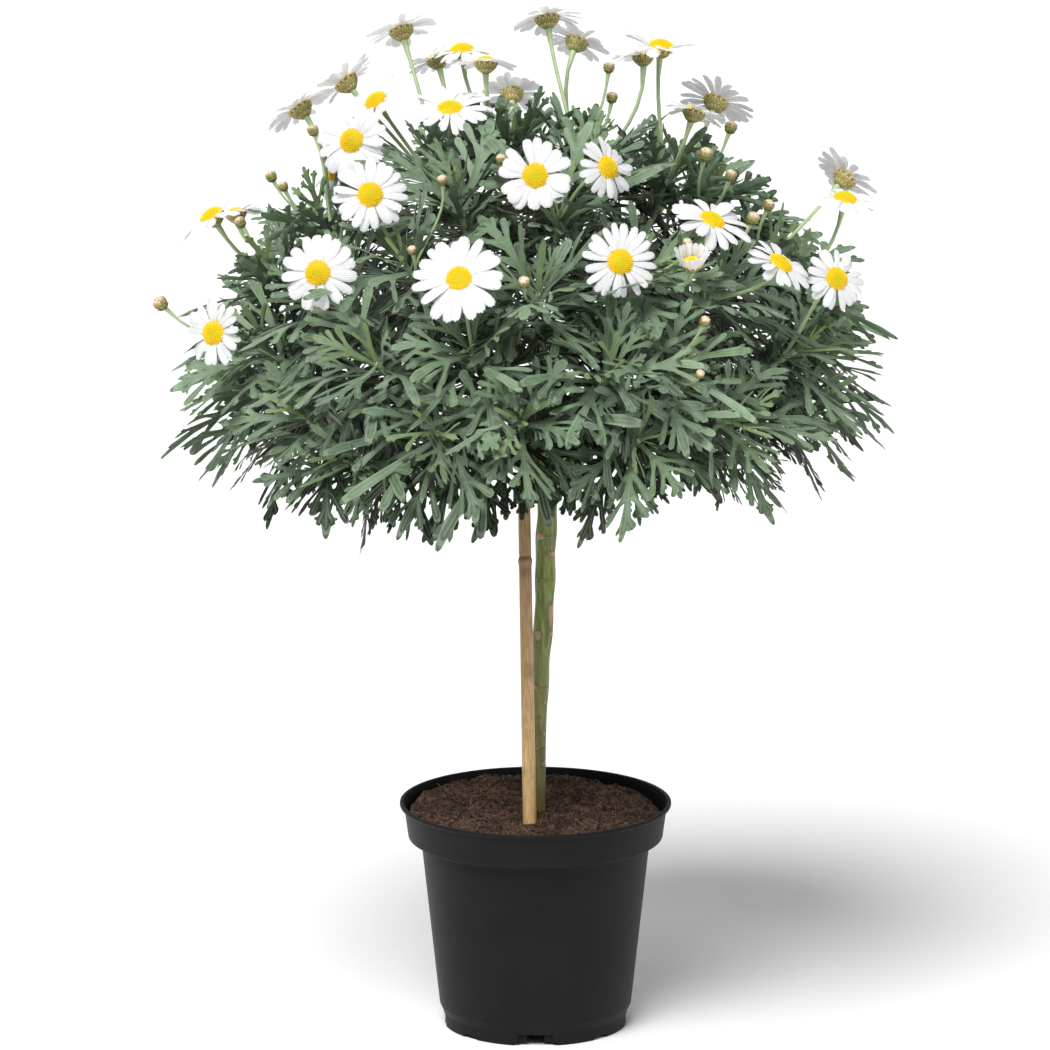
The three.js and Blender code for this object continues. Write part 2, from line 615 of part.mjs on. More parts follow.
function nearestShoot(point, shoots) {
  return shoots.reduce((best, shoot) => (
    shoot.tip.distanceTo(point) < best.tip.distanceTo(point) ? shoot : best));
}

// A stalk that leaves its shoot along the shoot's axis and meets the flower from behind
function stalkPath(shoot, end, faces) {
  const start = shoot.tip.clone().addScaledVector(shoot.axis, -TWIG.heart);
  const reach = start.distanceTo(end);
  const first = start.clone().lerp(end, 0.2).addScaledVector(shoot.axis, reach * 0.15);
  const second = end.clone().addScaledVector(faces, -reach * 0.4);
  return new THREE.CubicBezierCurve3(start, first, second, end);
}

// How much smaller than full size a narrow or half-open bloom is
function headScale(bloom) {
  return bloom.cupped ? HALF_OPEN.size : Math.min(1, bloom.width / BLOOM.full);
}

function stalkSolid(bloom) {
  const neck = bloom.centre.clone().addScaledVector(bloom.faces, -BLOOM.cupDepth * headScale(bloom) - GAP);
  return taperedTube(stalkPath(bloom.shoot, neck, bloom.faces).getPoints(2),
    [BLOOM.stalk, BLOOM.stalk, BLOOM.stalk], 4, bloom.faces);
}

function stalkAndBud(bud) {
  const radius = bud.width / 2;
  const neck = bud.centre.clone().addScaledVector(bud.faces, -radius);
  const path = stalkPath(bud.shoot, neck, bud.faces).getPoints(2);
  const top = bud.centre.clone().addScaledVector(bud.faces, radius);
  return taperedTube([...path, bud.centre, top], [BUD.stalk, BUD.stalk, BUD.stalk, radius, 0], 4);
}

// A bloom in one piece: strap petals with a rib at their foot, round a domed disc and over a cup of bracts
function bloomSolid(bloom, number) {
  const draw = drawsFrom(500 + number);
  const scale = headScale(bloom);
  const disc = BLOOM.disc * scale;
  const reach = bloom.width / 2;
  const petals = bloom.cupped ? HALF_OPEN.petals : PETAL.fewest + Math.floor(2 * draw());
  const rise = 0.1 * draw() - PETAL.dip;
  const spin = 2 * Math.PI * draw();
  const points = [];
  const triangles = [];
  const put = (radius, angle, height) => {
    points.push(new THREE.Vector3(radius * Math.cos(angle), radius * Math.sin(angle), height));
    return points.length - 1;
  };
  const step = (2 * Math.PI) / petals;
  const notches = [];
  for (let i = 0; i < petals; i += 1) notches.push(put(disc + 0.8, spin + step * i, 0));
  const rim = [];
  for (let i = 0; i < petals; i += 1) {
    const middle = spin + step * (i + 0.5 + 0.12 * (draw() - 0.5));
    const length = bloom.cupped ? disc + HALF_OPEN.reach : reach * (1 - PETAL.lengthSpread * draw());
    const height = bloom.cupped ? HALF_OPEN.rise : length * (rise + PETAL.wave * (draw() - 0.5));
    const halfAngle = step * (PETAL.halfWidth + PETAL.widthSpread * draw());
    const twist = PETAL.twist * (draw() - 0.5);
    const left = put(length, middle - halfAngle, height + twist);
    const right = put(length * (0.97 + 0.06 * draw()), middle + halfAngle, height - twist);
    const foot = put(bloom.cupped ? disc : disc + PETAL.foot, middle, BLOOM.thickness);
    const [here, next] = [notches[i], notches[(i + 1) % petals]];
    triangles.push([foot, here, left], [foot, left, right], [foot, right, next]);
    triangles.push([here, right, left], [here, next, right]);
    rim.push(here, foot);
  }
  const ringOf = (sides, radius, height) => Array.from({ length: sides }, (_, k) => (
    put(radius, spin + (2 * Math.PI * k) / sides, height)));
  const domeRing = ringOf(6, disc * 0.66, BLOOM.dome * scale * 0.8);
  const cupFoot = ringOf(5, BLOOM.cupFoot, -BLOOM.cupDepth * scale);
  const turnOf = (index) => {
    const angle = Math.atan2(points[index].y, points[index].x) - spin;
    return ((angle / (2 * Math.PI)) % 1 + 1) % 1;
  };
  const bridge = (outer, inner, upward) => {
    let done = 0;
    outer.forEach((index, i) => {
      const next = outer[(i + 1) % outer.length];
      const turn = i + 1 < outer.length ? turnOf(next) : 1;
      while (done < inner.length && (done + 0.5) / inner.length < turn) {
        const pair = [inner[(done + 1) % inner.length], inner[done]];
        triangles.push(upward ? [index, ...pair] : [index, ...pair.reverse()]);
        done += 1;
      }
      const near = inner[done % inner.length];
      triangles.push(upward ? [index, next, near] : [next, index, near]);
    });
  };
  bridge(rim, domeRing, true);
  bridge(notches, cupFoot, false);
  for (let k = 1; k + 1 < domeRing.length; k += 1) triangles.push([domeRing[0], domeRing[k], domeRing[k + 1]]);
  for (let k = 1; k + 1 < cupFoot.length; k += 1) triangles.push([cupFoot[0], cupFoot[k + 1], cupFoot[k]]);
  const turned = new THREE.Quaternion().setFromUnitVectors(UP, bloom.faces);
  return solidOfPoints(points.map((p) => p.applyQuaternion(turned).add(bloom.centre)), triangles);
}

// What stands already, with the boxes that tell quickly which pieces can touch
class Standing {
  constructor() {
    this.pieces = [];
  }

  add(solid, owner) {
    this.pieces.push({ solid, owner, box: solid.boundingBox() });
  }

  meets(solid, skip) {
    const box = solid.boundingBox();
    return this.pieces.some((piece) => {
      if (piece.owner === skip) return false;
      for (let axis = 0; axis < 3; axis += 1) {
        if (piece.box.min[axis] > box.max[axis] || piece.box.max[axis] < box.min[axis]) return false;
      }
      return !piece.solid.intersect(solid).isEmpty();
    });
  }
}

function meanOf(vectors) {
  return vectors.reduce((sum, each) => sum.add(each), new THREE.Vector3()).divideScalar(vectors.length);
}

// Where the twigs of a branch part, under the middle of its shoots
function junctionOf(shoots) {
  const middle = meanOf(shoots.map((shoot) => shoot.tip));
  return middle.lerp(new THREE.Vector3(CROWN.x, 0, CROWN.z - CROWN.heartBelow), TWIG.parting);
}

// A twig that ends in the dense heart of a leaf rosette
function twigSolid(junction, shoot) {
  const below = (distance) => shoot.tip.clone().addScaledVector(shoot.axis, -distance);
  return taperedTube([junction, below(TWIG.heartFoot), below(TWIG.heart), shoot.tip],
    [TWIG.radius, TWIG.radius, TWIG.heartRadius, 0], 4);
}

// The bare stem of a branch, which leaves its knob on the side away from the knob's other branches
function branchStem(sector, sectors, knob, junction) {
  const mates = sectors.filter((other) => other.knob === sector.knob);
  const between = meanOf(mates.map((mate) => mate.way));
  const start = knob.clone().add(sector.way.clone().sub(between).setLength(STEM.aside));
  const sag = start.clone().lerp(junction, 0.5).addScaledVector(DOWN, STEM.sag);
  return mainBody(taperedTube([start, sag, junction], [STEM.foot, STEM.middle, STEM.top], STEM.sides)
    .subtract(roundKnob(knob, ARM.knob + ARM.clear)));
}

// No leaf reaches further out than the widest ones in the photograph
function insideCrown(solid) {
  const { min, max } = solid.boundingBox();
  return min[0] > CROWN.x - CROWN.reach && max[0] < CROWN.x + CROWN.reach;
}

const NUDGES = [
  [0, 0, 1], [14, 0, 1], [-14, 0, 1], [0, -12, 0.95], [0, 12, 0.92], [28, -6, 0.9], [-28, 6, 0.9],
  [20, 14, 0.8], [-20, -14, 0.8], [40, 0, 0.75], [-40, 0, 0.75],
].map(([turn, pitch, size]) => ({ turn, pitch, size }));

function buildCrown(standing, knobs) {
  const shoots = shootTips();
  const sectors = branchSectors();
  shoots.forEach((shoot) => { shoot.sector = nearestSector(shoot.tip, sectors); });
  const blooms = bloomPlaces();
  const buds = budPlaces();
  [...blooms, ...buds].forEach((flower) => {
    const behind = flower.centre.clone().addScaledVector(flower.faces, -BLOOM.shootBehind);
    flower.shoot = nearestShoot(behind, shoots);
  });
  const bloomSolids = blooms.map((bloom, i) => bloomSolid(bloom, i));
  bloomSolids.forEach((solid, i) => standing.add(solid, `bloom ${i}`));
  const branches = sectors.map((sector, number) => {
    const own = shoots.filter((shoot) => shoot.sector === number);
    const junction = junctionOf(own);
    const stem = branchStem(sector, sectors, knobs[sector.knob], junction);
    const wood = joined([stem, ...own.map((shoot) => twigSolid(junction, shoot))]);
    const flowers = blooms.filter((bloom) => bloom.shoot.sector === number).map(stalkSolid);
    const closed = buds.filter((bud) => bud.shoot.sector === number).map(stalkAndBud);
    const pieces = [wood, ...flowers, ...closed];
    pieces.forEach((piece) => standing.add(piece, number));
    return { own, wood, pieces, outside: [...flowers, ...closed].map((piece) => piece.subtract(wood)) };
  });
  LEAF.built.forEach((number, turn) => {
    branches.forEach((branch, owner) => {
      branch.own.forEach((shoot) => {
        if (turn === LEAF.built.length - 1 && shoot.index % LEAF.sparse === 0) return;
        const shape = (shoot.index + turn) % LEAF.fiveLobed === 0 ? FIVE_LOBES : THREE_LOBES;
        const found = NUDGES.find((nudge) => {
          const leaf = leafOf(shoot, number, nudge);
          const envelope = leafSolid(leaf, shape, LEAF.clear);
          if (!envelope || !insideCrown(envelope) || standing.meets(envelope, owner)) return false;
          const outer = envelope.subtract(branch.wood);
          return !branch.outside.some((other) => !other.intersect(outer).isEmpty());
        });
        if (!found) return;
        const solid = leafSolid(leafOf(shoot, number, found), shape, 0);
        standing.add(solid, owner);
        branch.outside.push(solid.subtract(branch.wood));
        branch.pieces.push(solid);
      });
    });
  });
  return { blooms: bloomSolids, branches: branches.map((branch) => mainBody(joined(branch.pieces))) };
}

// Materials and the scene graph
function material(color, roughness) {
  return new THREE.MeshStandardMaterial({ color, roughness, metalness: 0 });
}

function named(name, solid, surface) {
  const mesh = new THREE.Mesh(geometryOf(solid), surface);
  mesh.name = name;
  return mesh;
}

function twoDigits(number) {
  return String(number).padStart(2, '0');
}

const plant = new THREE.Group();
const knobs = armKnobs();
const trunk = trunkSolid();
const cane = caneSolid(0);
const tie = tieSolid();
plant.add(named('pot', potSolid(), material('#242424', 0.5)));
plant.add(named('soil', soilSolid([soilHole(), caneSolid(GAP)]), material('#3a2820', 0.95)));
plant.add(named('cane', cane, material('#b08d5b', 0.6)));
plant.add(named('trunk', trunk, material('#6b7a3f', 0.7)));
plant.add(named('tie', tie, material('#2f4a38', 0.6)));

const standing = new Standing();
[trunk, cane, tie].forEach((solid, i) => standing.add(solid, `wood ${i}`));
const crown = buildCrown(standing, knobs);
crown.branches.forEach((solid, i) => {
  plant.add(named(`leafy_branch_${twoDigits(i + 1)}`, solid, material('#5f7f6a', 0.6)));
});
crown.blooms.forEach((solid, i) => {
  plant.add(named(`bloom_${twoDigits(i + 1)}`, solid, material('#ffffff', 0.5)));
});

export default plant;
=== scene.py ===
"""Looks for a potted standard marguerite daisy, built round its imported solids.

Metres, +Z up, the origin on the ground under the pot, the photographed side facing -Y.
Sizes are written in millimetres, and become metres where a mesh or a place is made.
"""

import math

import bpy
from mathutils import Matrix, Vector, noise
from mathutils.geometry import delaunay_2d_cdt


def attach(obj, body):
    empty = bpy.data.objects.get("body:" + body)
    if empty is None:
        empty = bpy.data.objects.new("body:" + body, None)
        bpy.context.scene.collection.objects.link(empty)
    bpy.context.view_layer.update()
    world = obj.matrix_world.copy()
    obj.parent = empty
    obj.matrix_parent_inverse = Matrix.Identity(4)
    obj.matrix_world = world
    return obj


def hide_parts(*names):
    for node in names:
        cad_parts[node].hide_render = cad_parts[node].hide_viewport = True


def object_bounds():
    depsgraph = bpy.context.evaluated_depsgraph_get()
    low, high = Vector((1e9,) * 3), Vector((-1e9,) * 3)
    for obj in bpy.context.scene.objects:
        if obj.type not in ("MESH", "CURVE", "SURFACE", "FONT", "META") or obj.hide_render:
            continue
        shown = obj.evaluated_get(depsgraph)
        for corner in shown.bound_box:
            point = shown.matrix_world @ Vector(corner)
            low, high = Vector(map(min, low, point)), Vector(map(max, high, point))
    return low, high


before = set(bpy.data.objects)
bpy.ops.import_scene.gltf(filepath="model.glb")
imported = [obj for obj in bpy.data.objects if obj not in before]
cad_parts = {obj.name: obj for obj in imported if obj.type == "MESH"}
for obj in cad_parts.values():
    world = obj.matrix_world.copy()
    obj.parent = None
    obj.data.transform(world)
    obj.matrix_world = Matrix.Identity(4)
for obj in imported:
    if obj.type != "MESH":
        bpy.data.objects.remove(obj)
CAD_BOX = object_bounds()

# Driving dimensions. What the solids have too is the same there

MM = 0.001
UP = Vector((0, 0, 1))
DOWN = -UP
GOLDEN_ANGLE = math.radians(137.508)
BRANCHES = 16

POT = {
    "lip": 95, "height": 160, "lip_depth": 2.6, "collar_top": 92, "collar_bottom": 89, "collar_depth": 25,
    "shoulder": 80, "base": 67.3, "foot": 64.5, "foot_width": 6, "foot_height": 10, "wall": 1.4, "sides": 144,
    "notches": 4, "notch_width": 12, "notch_height": 8, "recess_width": 30, "recess_height": 2,
    "scoop": 3.2, "scoop_width": 24,
}
SOIL = {
    "top": 152.2, "radius": 87.6, "mound": 5.0, "mound_turn": 25, "bank": 4.0, "roughness": 1.5, "rings": 56,
    "sides": 150, "skirt": 14, "skirt_in": 0.97,
    "bank_from": -0.3, "bank_bend": 3, "sunk_edge": 1.5, "edge_bend": 10,
}
# Lumps of the compost: height, width, and a number that sets the two sizes apart
LUMPS = [(2.6, 15, 2), (1.6, 6, 7)]
# The cane's node and the ends of what is built of it are shares of the way up it
CANE = {
    "foot": (-2.5, -39, 55), "top": (-8.2, -5, 392), "thick_foot": 5.2, "thick_top": 4.4, "node": 0.83,
    "built_from": 0.193, "built_to": 0.999, "sides": 28, "steps": 220,
}
# Rises along the cane from its node: how high, how far above the node, and how wide
NODE = {
    "swelling": (0.6, 0, 2.4), "groove": (0.4, 3.4, 0.8), "scar_line": (0.9, 3.2, 1.0), "stain": (0.5, -6, 5),
}
# The stem: how far to the right its middle lies, height and radius
TRUNK = [
    (0, 120, 6.6), (0, 152, 6.8), (0.6, 178, 6.4), (1.8, 222, 6.3), (2.8, 243, 6.8), (3.6, 262, 6.3),
    (4.8, 281, 7.0), (6.2, 304, 6.5), (6.9, 320, 7.3), (7.0, 337, 6.8), (7.3, 351, 7.5), (7.8, 366, 6.8),
    (8, 380, 7.5), (8, 390, 8.2), (8, 396, 6.4),
]
# Corky scars on the stem: height, turn round it from the photographed side, width round it and length up it
SCARS = [
    (351, -38, 3.4, 2.2), (338, 62, 5.0, 3.2), (320, -70, 3.0, 2.0), (297, 52, 4.2, 8.5),
    (281, -30, 3.2, 3.6), (262, 150, 5.0, 4.0), (243, -34, 3.4, 2.2), (232, 40, 3.0, 3.0),
    (222, 10, 3.0, 1.8), (210, 44, 2.6, 2.4), (199, 8, 3.0, 1.8), (188, 48, 3.2, 3.4),
    (366, 120, 5.0, 4.0), (310, 200, 5.0, 5.0), (270, 240, 4.0, 4.0),
]
# Heights of the thin corky rings round the stem's old joints
SCAR_RINGS = (351, 320, 281, 243, 222, 199)
SCARRING = {"ring": 0.2, "ring_high": 0.9, "patch": 0.36, "stem": 7}
ARM = {
    "count": 6, "turn": 15, "x": 6, "reach": 52, "height": 426, "stagger": 5, "leader": (6, 2, 474),
    "fork": (8, 0, 388), "sag": 4, "thick": 3.6, "swell": 1.4, "knob": 4.2,
    "steps": 14, "sides": 14,
}
STEM = {"thick": 2.2, "aside": 3.2, "sag": 3, "sides": 8}
TIE = {
    "height": 380, "band": 8, "thickness": 1.1, "cane": 6.5, "stem": 9.1, "stem_x": 8, "cord": 1.25,
    "knot_front": 9.9,
}

# The photograph's camera: a long lens that looks down a little
VIEW = {
    "distance": 5830, "height": 1711, "x": -7.35, "pitch": 13.065, "focal": 8614, "centre": 525,
    "frame": 1050,
    "sensor": 36,
}

CROWN = {"x": -2.5, "z": 452, "heart_below": 30, "fullest": 1.04}
CROWN_MIDDLE = Vector((CROWN["x"], 0, CROWN["z"]))
TIP_DOME = {"radius": 196, "rise": 160}
BLOOM_DOME = {"radius": 236, "rise": 204}
AIM_BELOW = 78

LEAF = {
    "per_shoot": 17, "built": (6, 12, 13), "roll": 1.5, "extra_droop": 0.16, "stem": 30, "youngest": 24,
    "longest": 84, "spread": 13, "grown": 0.45, "old": 0.8,
    "old_size": 0.9, "pitch_young": 18, "pitch_old": 92, "pitch_spread": 14, "turn_spread": 0.3,
    "droop_young": 0.15, "droop_old": 0.95, "droop_least": 0.75, "droop_spread": 0.5,
    "hanging_stiffness": 0.6, "faces_axis": 0.7, "faces_up": 0.6, "faces_out": 0.5, "inside": 1.5,
    "pitch_upright": 58, "upright_stiffness": 0.5, "hem": 350, "hem_rise": 0.25, "hem_spread": 125,
    "shortest": 34,
    "dip": 32, "dip_x": -60, "dip_width": 80, "dome_side": 1.34, "dome_top": 1.3, "dome_spread": 0.3,
    "upper_shoot": 0.3,
}
# Old leaves lower down a shoot, in the shade of the rest, with an age past 1 that paints that shade on them.
# The low shoots of the crown have few
INNER_LEAF = {
    "seed": 9000, "turns": 2, "count": 12, "few": 2, "from": 34, "stem": 46, "pitch": 72, "pitch_spread": 50,
    "aside": 0, "faces_in": 0.2, "length": 66, "least": 0.8, "spread": 0.4, "droop": 0.25, "limp": False,
    "age": 1.3, "softness": 0.9,
}
# Small leaves of the side buds, between the leaves of a shoot
SMALL_LEAF = {
    "seed": 20000, "turns": 3, "count": 10, "few": 4, "from": 4, "stem": 34, "pitch": 58, "pitch_spread": 60,
    "aside": 4, "faces_in": 0.5, "length": 40, "least": 0.7, "spread": 0.6, "droop": 0.3, "limp": True,
    "age": 0.55, "softness": 1.0,
}
# Pairs of fingers that each kind of leaf has, and where the fingers leave the midrib, in lengths of the leaf
FINGER_PAIRS = (0, 1, 2, 2, 3, 1, 2, 3, 2, 1, 2, 3)
BLADES = len(FINGER_PAIRS)
FINGER = {
    "first": 0.26, "first_spread": 0.12, "later_if_few": 0.12, "apart": 0.2, "apart_spread": 0.05, "angle": 36,
    "narrower": 3, "angle_spread": 12, "reach": 0.42, "shorter": 0.05, "half": 0.028, "half_spread": 0.009,
    "midrib": 0.033, "thicker": 0.003,
}
TWIG = {"parting": 0.42, "thick": 1.7, "heart_foot": 36, "heart": 17}
BLOOM = {"disc": 9, "dome": 4.2, "cup_depth": 8.1, "full": 50, "stalk": 1.4, "shoot_behind": 30}
# Petals: how many, how far out they start in discs, how they fill the round, and how unlike they are
PETAL = {
    "fewest": 16, "more": 6, "foot": 0.86, "overlap": 0.94, "more_overlap": 0.16, "lift": 0.04,
    "lift_spread": 0.22, "uneven": 0.2, "out_of_step": 0.3, "layer": 0.6, "roll": 0.24,
    "length": (0.88, 1.04), "width": (0.78, 1.16),
}
# Florets: how far out the last ones stand, how the disc falls away, their height over it, and their sizes
FLORET = {"count": 150, "edge": 0.97, "fall": 2.4, "above": 0.4, "spread": 0.22, "least": 0.72, "outer": 0.25}
# The first row of bracts round the cup, and how much each later row adds
BRACTS = {
    "rows": 4, "in_row": 13, "radius": 0.32, "wider": 0.17, "low": -0.98, "higher": 0.165, "lean": -0.75,
    "steeper": -0.15, "uneven": 0.05, "size": 0.5, "bigger": 0.02,
}
BUD_STALK = 1.0
STALK_FLARE = 1.7
HALF_OPEN = {"size": 0.75, "reach": 11, "lift": 1.32, "foot": 1.1}

# Shoot tips in the photograph, in its pixels, and on the far side as (turn round the pot, angle from the top)
FRONT_TIPS = [
    (240, 390), (265, 350), (306, 420), (374, 362), (350, 462), (436, 432), (470, 350),
    (538, 292), (520, 420), (611, 372), (672, 366), (640, 440),
    (730, 420), (798, 350), (812, 412), (866, 352), (262, 272), (330, 300), (300, 205),
    (404, 262), (457, 198), (425, 130), (505, 108), (560, 205), (590, 112), (640, 270),
    (672, 175), (716, 190), (716, 290), (768, 262), (822, 282),
]
BACK_TIPS = [
    (60, 12), (200, 12), (112, 38), (162, 36), (212, 38), (96, 66), (124, 60), (154, 62), (184, 60),
    (212, 64),
    (240, 58), (264, 70), (104, 94), (134, 90), (162, 86), (190, 84), (216, 92), (244, 90),
    (266, 100), (118, 114), (148, 112), (178, 112), (206, 116), (236, 114),
]

# Blooms: pixel of the disc, millimetres further away than the dome, turn and lift of its face, and its width
BLOOMS = [
    (401, 30, 30, -150, 56, 52), (547, 18, 30, -165, 60, 52), (577, 42, 95, 150, 48, 48),
    (661, 47, -20, 30, 78, 64), (643, 56, 70, -170, 74, 46), (437, 60, 90, -150, 56, 44),
    (462, 50, 30, -30, 82, 46), (486, 63, -30, 175, 72, 46), (512, 94, 150, 180, 35, 46),
    (300, 108, 20, -125, 46, 56), (346, 82, 60, -125, 42, 50), (376, 101, 34, -50, 52, 46),
    (352, 141, -8, -22, 22, 54), (370, 195, 0, 4, 24, 52), (450, 109, 0, -4, 70, 62),
    (535, 176, 0, 4, 20, 52), (607, 168, 0, 42, 26, 46), (716, 102, 40, 155, 44, 57),
    (694, 112, -40, 140, 62, 46), (712, 221, 0, 46, 60, 60), (318, 273, 0, -14, 12, 55),
    (459, 279, -6, -8, 34, 64), (620, 262, 0, 10, 16, 53), (212, 216, -40, -80, 60, 56),
    (236, 214, 60, -150, 66, 42), (214, 333, -20, -34, 12, 48), (845, 178, 30, 130, 36, 52),
    (845, 199, -45, 40, 74, 46), (780, 264, -10, 62, 54, 50), (836, 279, -20, 26, 28, 46),
    (692, 264, 0, 0, 66, 26), (336, 172, 105, -70, 34, 42),
]
HALF_OPEN_BLOOMS = {30}
# How far the petals of some blooms stand up, in radians
RAISED = {1: -0.08, 3: 0.34, 10: 0.25, 17: 0.2, 26: 0.25}
BACK_BLOOMS = [(124, 72), (150, 48), (162, 82), (190, 66), (222, 84), (236, 62), (192, 40)]
BACK_BLOOM = {"width": 52, "lift": 32}

# Closed buds: pixel, millimetres further away than the dome, and width. The last are too small for solids
BUDS = [
    (157, 303, -80, 11), (271, 176, 10, 9), (240, 222, 20, 9), (313, 130, 0, 9), (442, 180, 0, 8),
    (501, 159, 0, 8), (524, 282, 0, 9), (609, 67, 0, 9), (706, 154, 0, 11), (731, 127, 40, 10),
    (731, 175, 10, 9), (769, 205, 20, 9), (753, 218, 0, 10), (705, 321, 0, 8),
    (283, 186, -10, 8), (412, 250, 0, 7), (612, 97, 10, 9), (687, 243, 0, 8), (700, 374, 0, 7),
]


# Small tools

def linear(code):
    """An sRGB hex colour as the linear one that a shader takes"""
    parts = [int(code[i:i + 2], 16) / 255 for i in (1, 3, 5)]
    return tuple(v / 12.92 if v <= 0.04045 else ((v + 0.055) / 1.055) ** 2.4 for v in parts) + (1.0,)


MATH = "ShaderNodeMath"
PLUS = {"operation": "ADD"}
TIMES = {"operation": "MULTIPLY"}
TIMES_PLUS = {"operation": "MULTIPLY_ADD"}
# The sockets of the two colours that a mix node lays over each other
UNDER = 6
OVER = 7
# The sockets of the two numbers that a comparison or a random value takes
FIRST = 2
SECOND = 3


def put(tree, value, socket):
    """A link, a colour or a number into a socket. A node stands for its first output in use"""
    if isinstance(value, bpy.types.Node):
        value = next(output for output in value.outputs if output.enabled)
    if isinstance(value, bpy.types.NodeSocket):
        tree.links.new(value, socket)
    elif isinstance(value, str) and value.startswith("#"):
        socket.default_value = linear(value)
    else:
        socket.default_value = value


def add(tree, kind, inputs=(), **settings):
    """One node with its settings, and its values and links by name or in order"""
    node = tree.nodes.new(kind)
    for key, value in settings.items():
        setattr(node, key, value)
    for key, value in inputs.items() if isinstance(inputs, dict) else enumerate(inputs):
        put(tree, value, node.inputs[key])
    return node


def cells(size):
    """The scale of a noise whose cells are a size in millimetres across"""
    return 1000 / size


def waves(count):
    """The scale of a wave pattern with so many waves to one unit of its coordinates"""
    return count * math.pi / 10


def draws_from(seed):
    """Seeded draws between 0 and 1, in the order that the solids use"""
    modulus = 2147483647
    state = (seed * 7919 + 12345) % modulus

    def draw():
        nonlocal state
        state = (state * 48271) % modulus
        return state / modulus

    for _ in range(4):
        draw()
    return draw


def mix(low, high, share):
    return low + (high - low) * share


def mean_of(vectors):
    return sum(vectors, Vector()) / len(vectors)


def mesh_of(name, points, faces, smooth=True):
    """A mesh in metres from points in millimetres"""
    mesh = bpy.data.meshes.new(name)
    mesh.from_pydata([Vector(p) * MM for p in points], [], faces)
    mesh.polygons.foreach_set("use_smooth", [smooth] * len(mesh.polygons))
    mesh.update()
    return mesh


def object_of(name, mesh):
    made = bpy.data.objects.new(name, mesh)
    bpy.context.scene.collection.objects.link(made)
    return made


NUMBERS = "FLOAT"
VECTORS = "FLOAT_VECTOR"


def give_values(mesh, name, kind, values):
    """A named value at each point of a mesh"""
    attribute = mesh.attributes.new(name, kind, "POINT")
    if kind == VECTORS:
        attribute.data.foreach_set("vector", [number for value in values for number in value])
    else:
        attribute.data.foreach_set("value", values)


def plain_mesh(made):
    """Puts the mesh that an object's modifiers make in the object, without the modifiers"""
    shaped = made.evaluated_get(bpy.context.evaluated_depsgraph_get())
    mesh = bpy.data.meshes.new_from_object(shaped)
    made.modifiers.clear()
    made.data = mesh
    return mesh


def finish_with(mesh, *finishes):
    """Gives a mesh its materials, in place of any that it has"""
    mesh.materials.clear()
    for finish in finishes:
        mesh.materials.append(finish)


def joined(shapes):
    """The points and faces of several shapes as one"""
    points = []
    faces = []
    for shape_points, shape_faces in shapes:
        faces += [tuple(len(points) + v for v in face) for face in shape_faces]
        points += shape_points
    return points, faces


def round_faces(rows, sides):
    """The faces between rings of points"""
    faces = []
    for row in range(rows - 1):
        for k in range(sides):
            a, b = row * sides + k, row * sides + (k + 1) % sides
            faces.append((a, b, b + sides, a + sides))
    return faces


def bell(off, high, middle, width):
    """A rounded rise so high, round a middle"""
    return high * math.exp(-((off - middle) / width) ** 2)


def turned_round(profile, sides, closed=False):
    """Points and faces of a profile of (radius, height) turned round the Z axis"""
    points = []
    for radius, height in profile:
        for k in range(sides):
            angle = 2 * math.pi * k / sides
            points.append((radius * math.cos(angle), radius * math.sin(angle), height))
    faces = round_faces(len(profile), sides)
    if closed:
        faces.append(tuple(range(len(points) - sides, len(points))))
        faces.append(tuple(reversed(range(sides))))
    return points, faces


# Places in the crown, worked out as the solids work them out

def facing(turn, lift):
    level = math.cos(math.radians(lift))
    turn = math.radians(turn)
    return Vector((level * math.sin(turn), -level * math.cos(turn), math.sin(math.radians(lift))))


def photographed_point(pixel, dome, away):
    """The point that a pixel shows on the near side of a dome, or beside it"""
    pitch = math.radians(VIEW["pitch"])
    forward = Vector((0, math.cos(pitch), -math.sin(pitch)))
    upward = Vector((0, math.sin(pitch), math.cos(pitch)))
    way = forward - upward * ((pixel[1] - VIEW["centre"]) / VIEW["focal"])
    way.x = (pixel[0] - VIEW["centre"]) / VIEW["focal"]
    way.normalize()
    camera = Vector((VIEW["x"], -VIEW["distance"], VIEW["height"]))
    scale = Vector((1 / dome["radius"], 1 / dome["radius"], 1 / dome["rise"]))
    start = (camera - CROWN_MIDDLE) * scale
    step = way * scale
    a = step.dot(step)
    b = start.dot(step)
    inside = b * b - a * (start.dot(start) - 1)
    distance = (-b - math.sqrt(inside)) / a if inside > 0 else -b / a
    return camera + way * (distance + away)


def on_dome(turn, from_top, dome):
    way = facing(turn, 90 - from_top)
    return Vector((
        CROWN["x"] + way.x * dome["radius"], way.y * dome["radius"], CROWN["z"] + way.z * dome["rise"]))


def direction_in_crown(point):
    return Vector((
        (point.x - CROWN["x"]) / TIP_DOME["radius"],
        point.y / TIP_DOME["radius"],
        (point.z - CROWN["z"]) / TIP_DOME["rise"],
    ))


def branch_sectors():
    """The middle of each leafy branch's share of the crown, with the number of the knob it grows from"""
    sectors = []

    def ring(count, turn, from_top, knob_of):
        for i in range(count):
            sectors.append((facing(turn + 360 * i / count, 90 - from_top), knob_of(i)))

    ring(4, 45, 32, lambda i: 0)
    ring(ARM["count"], ARM["turn"], 67, lambda i: 1 + i)
    ring(ARM["count"], ARM["turn"] + 30, 101, lambda i: 1 + i)
    return sectors


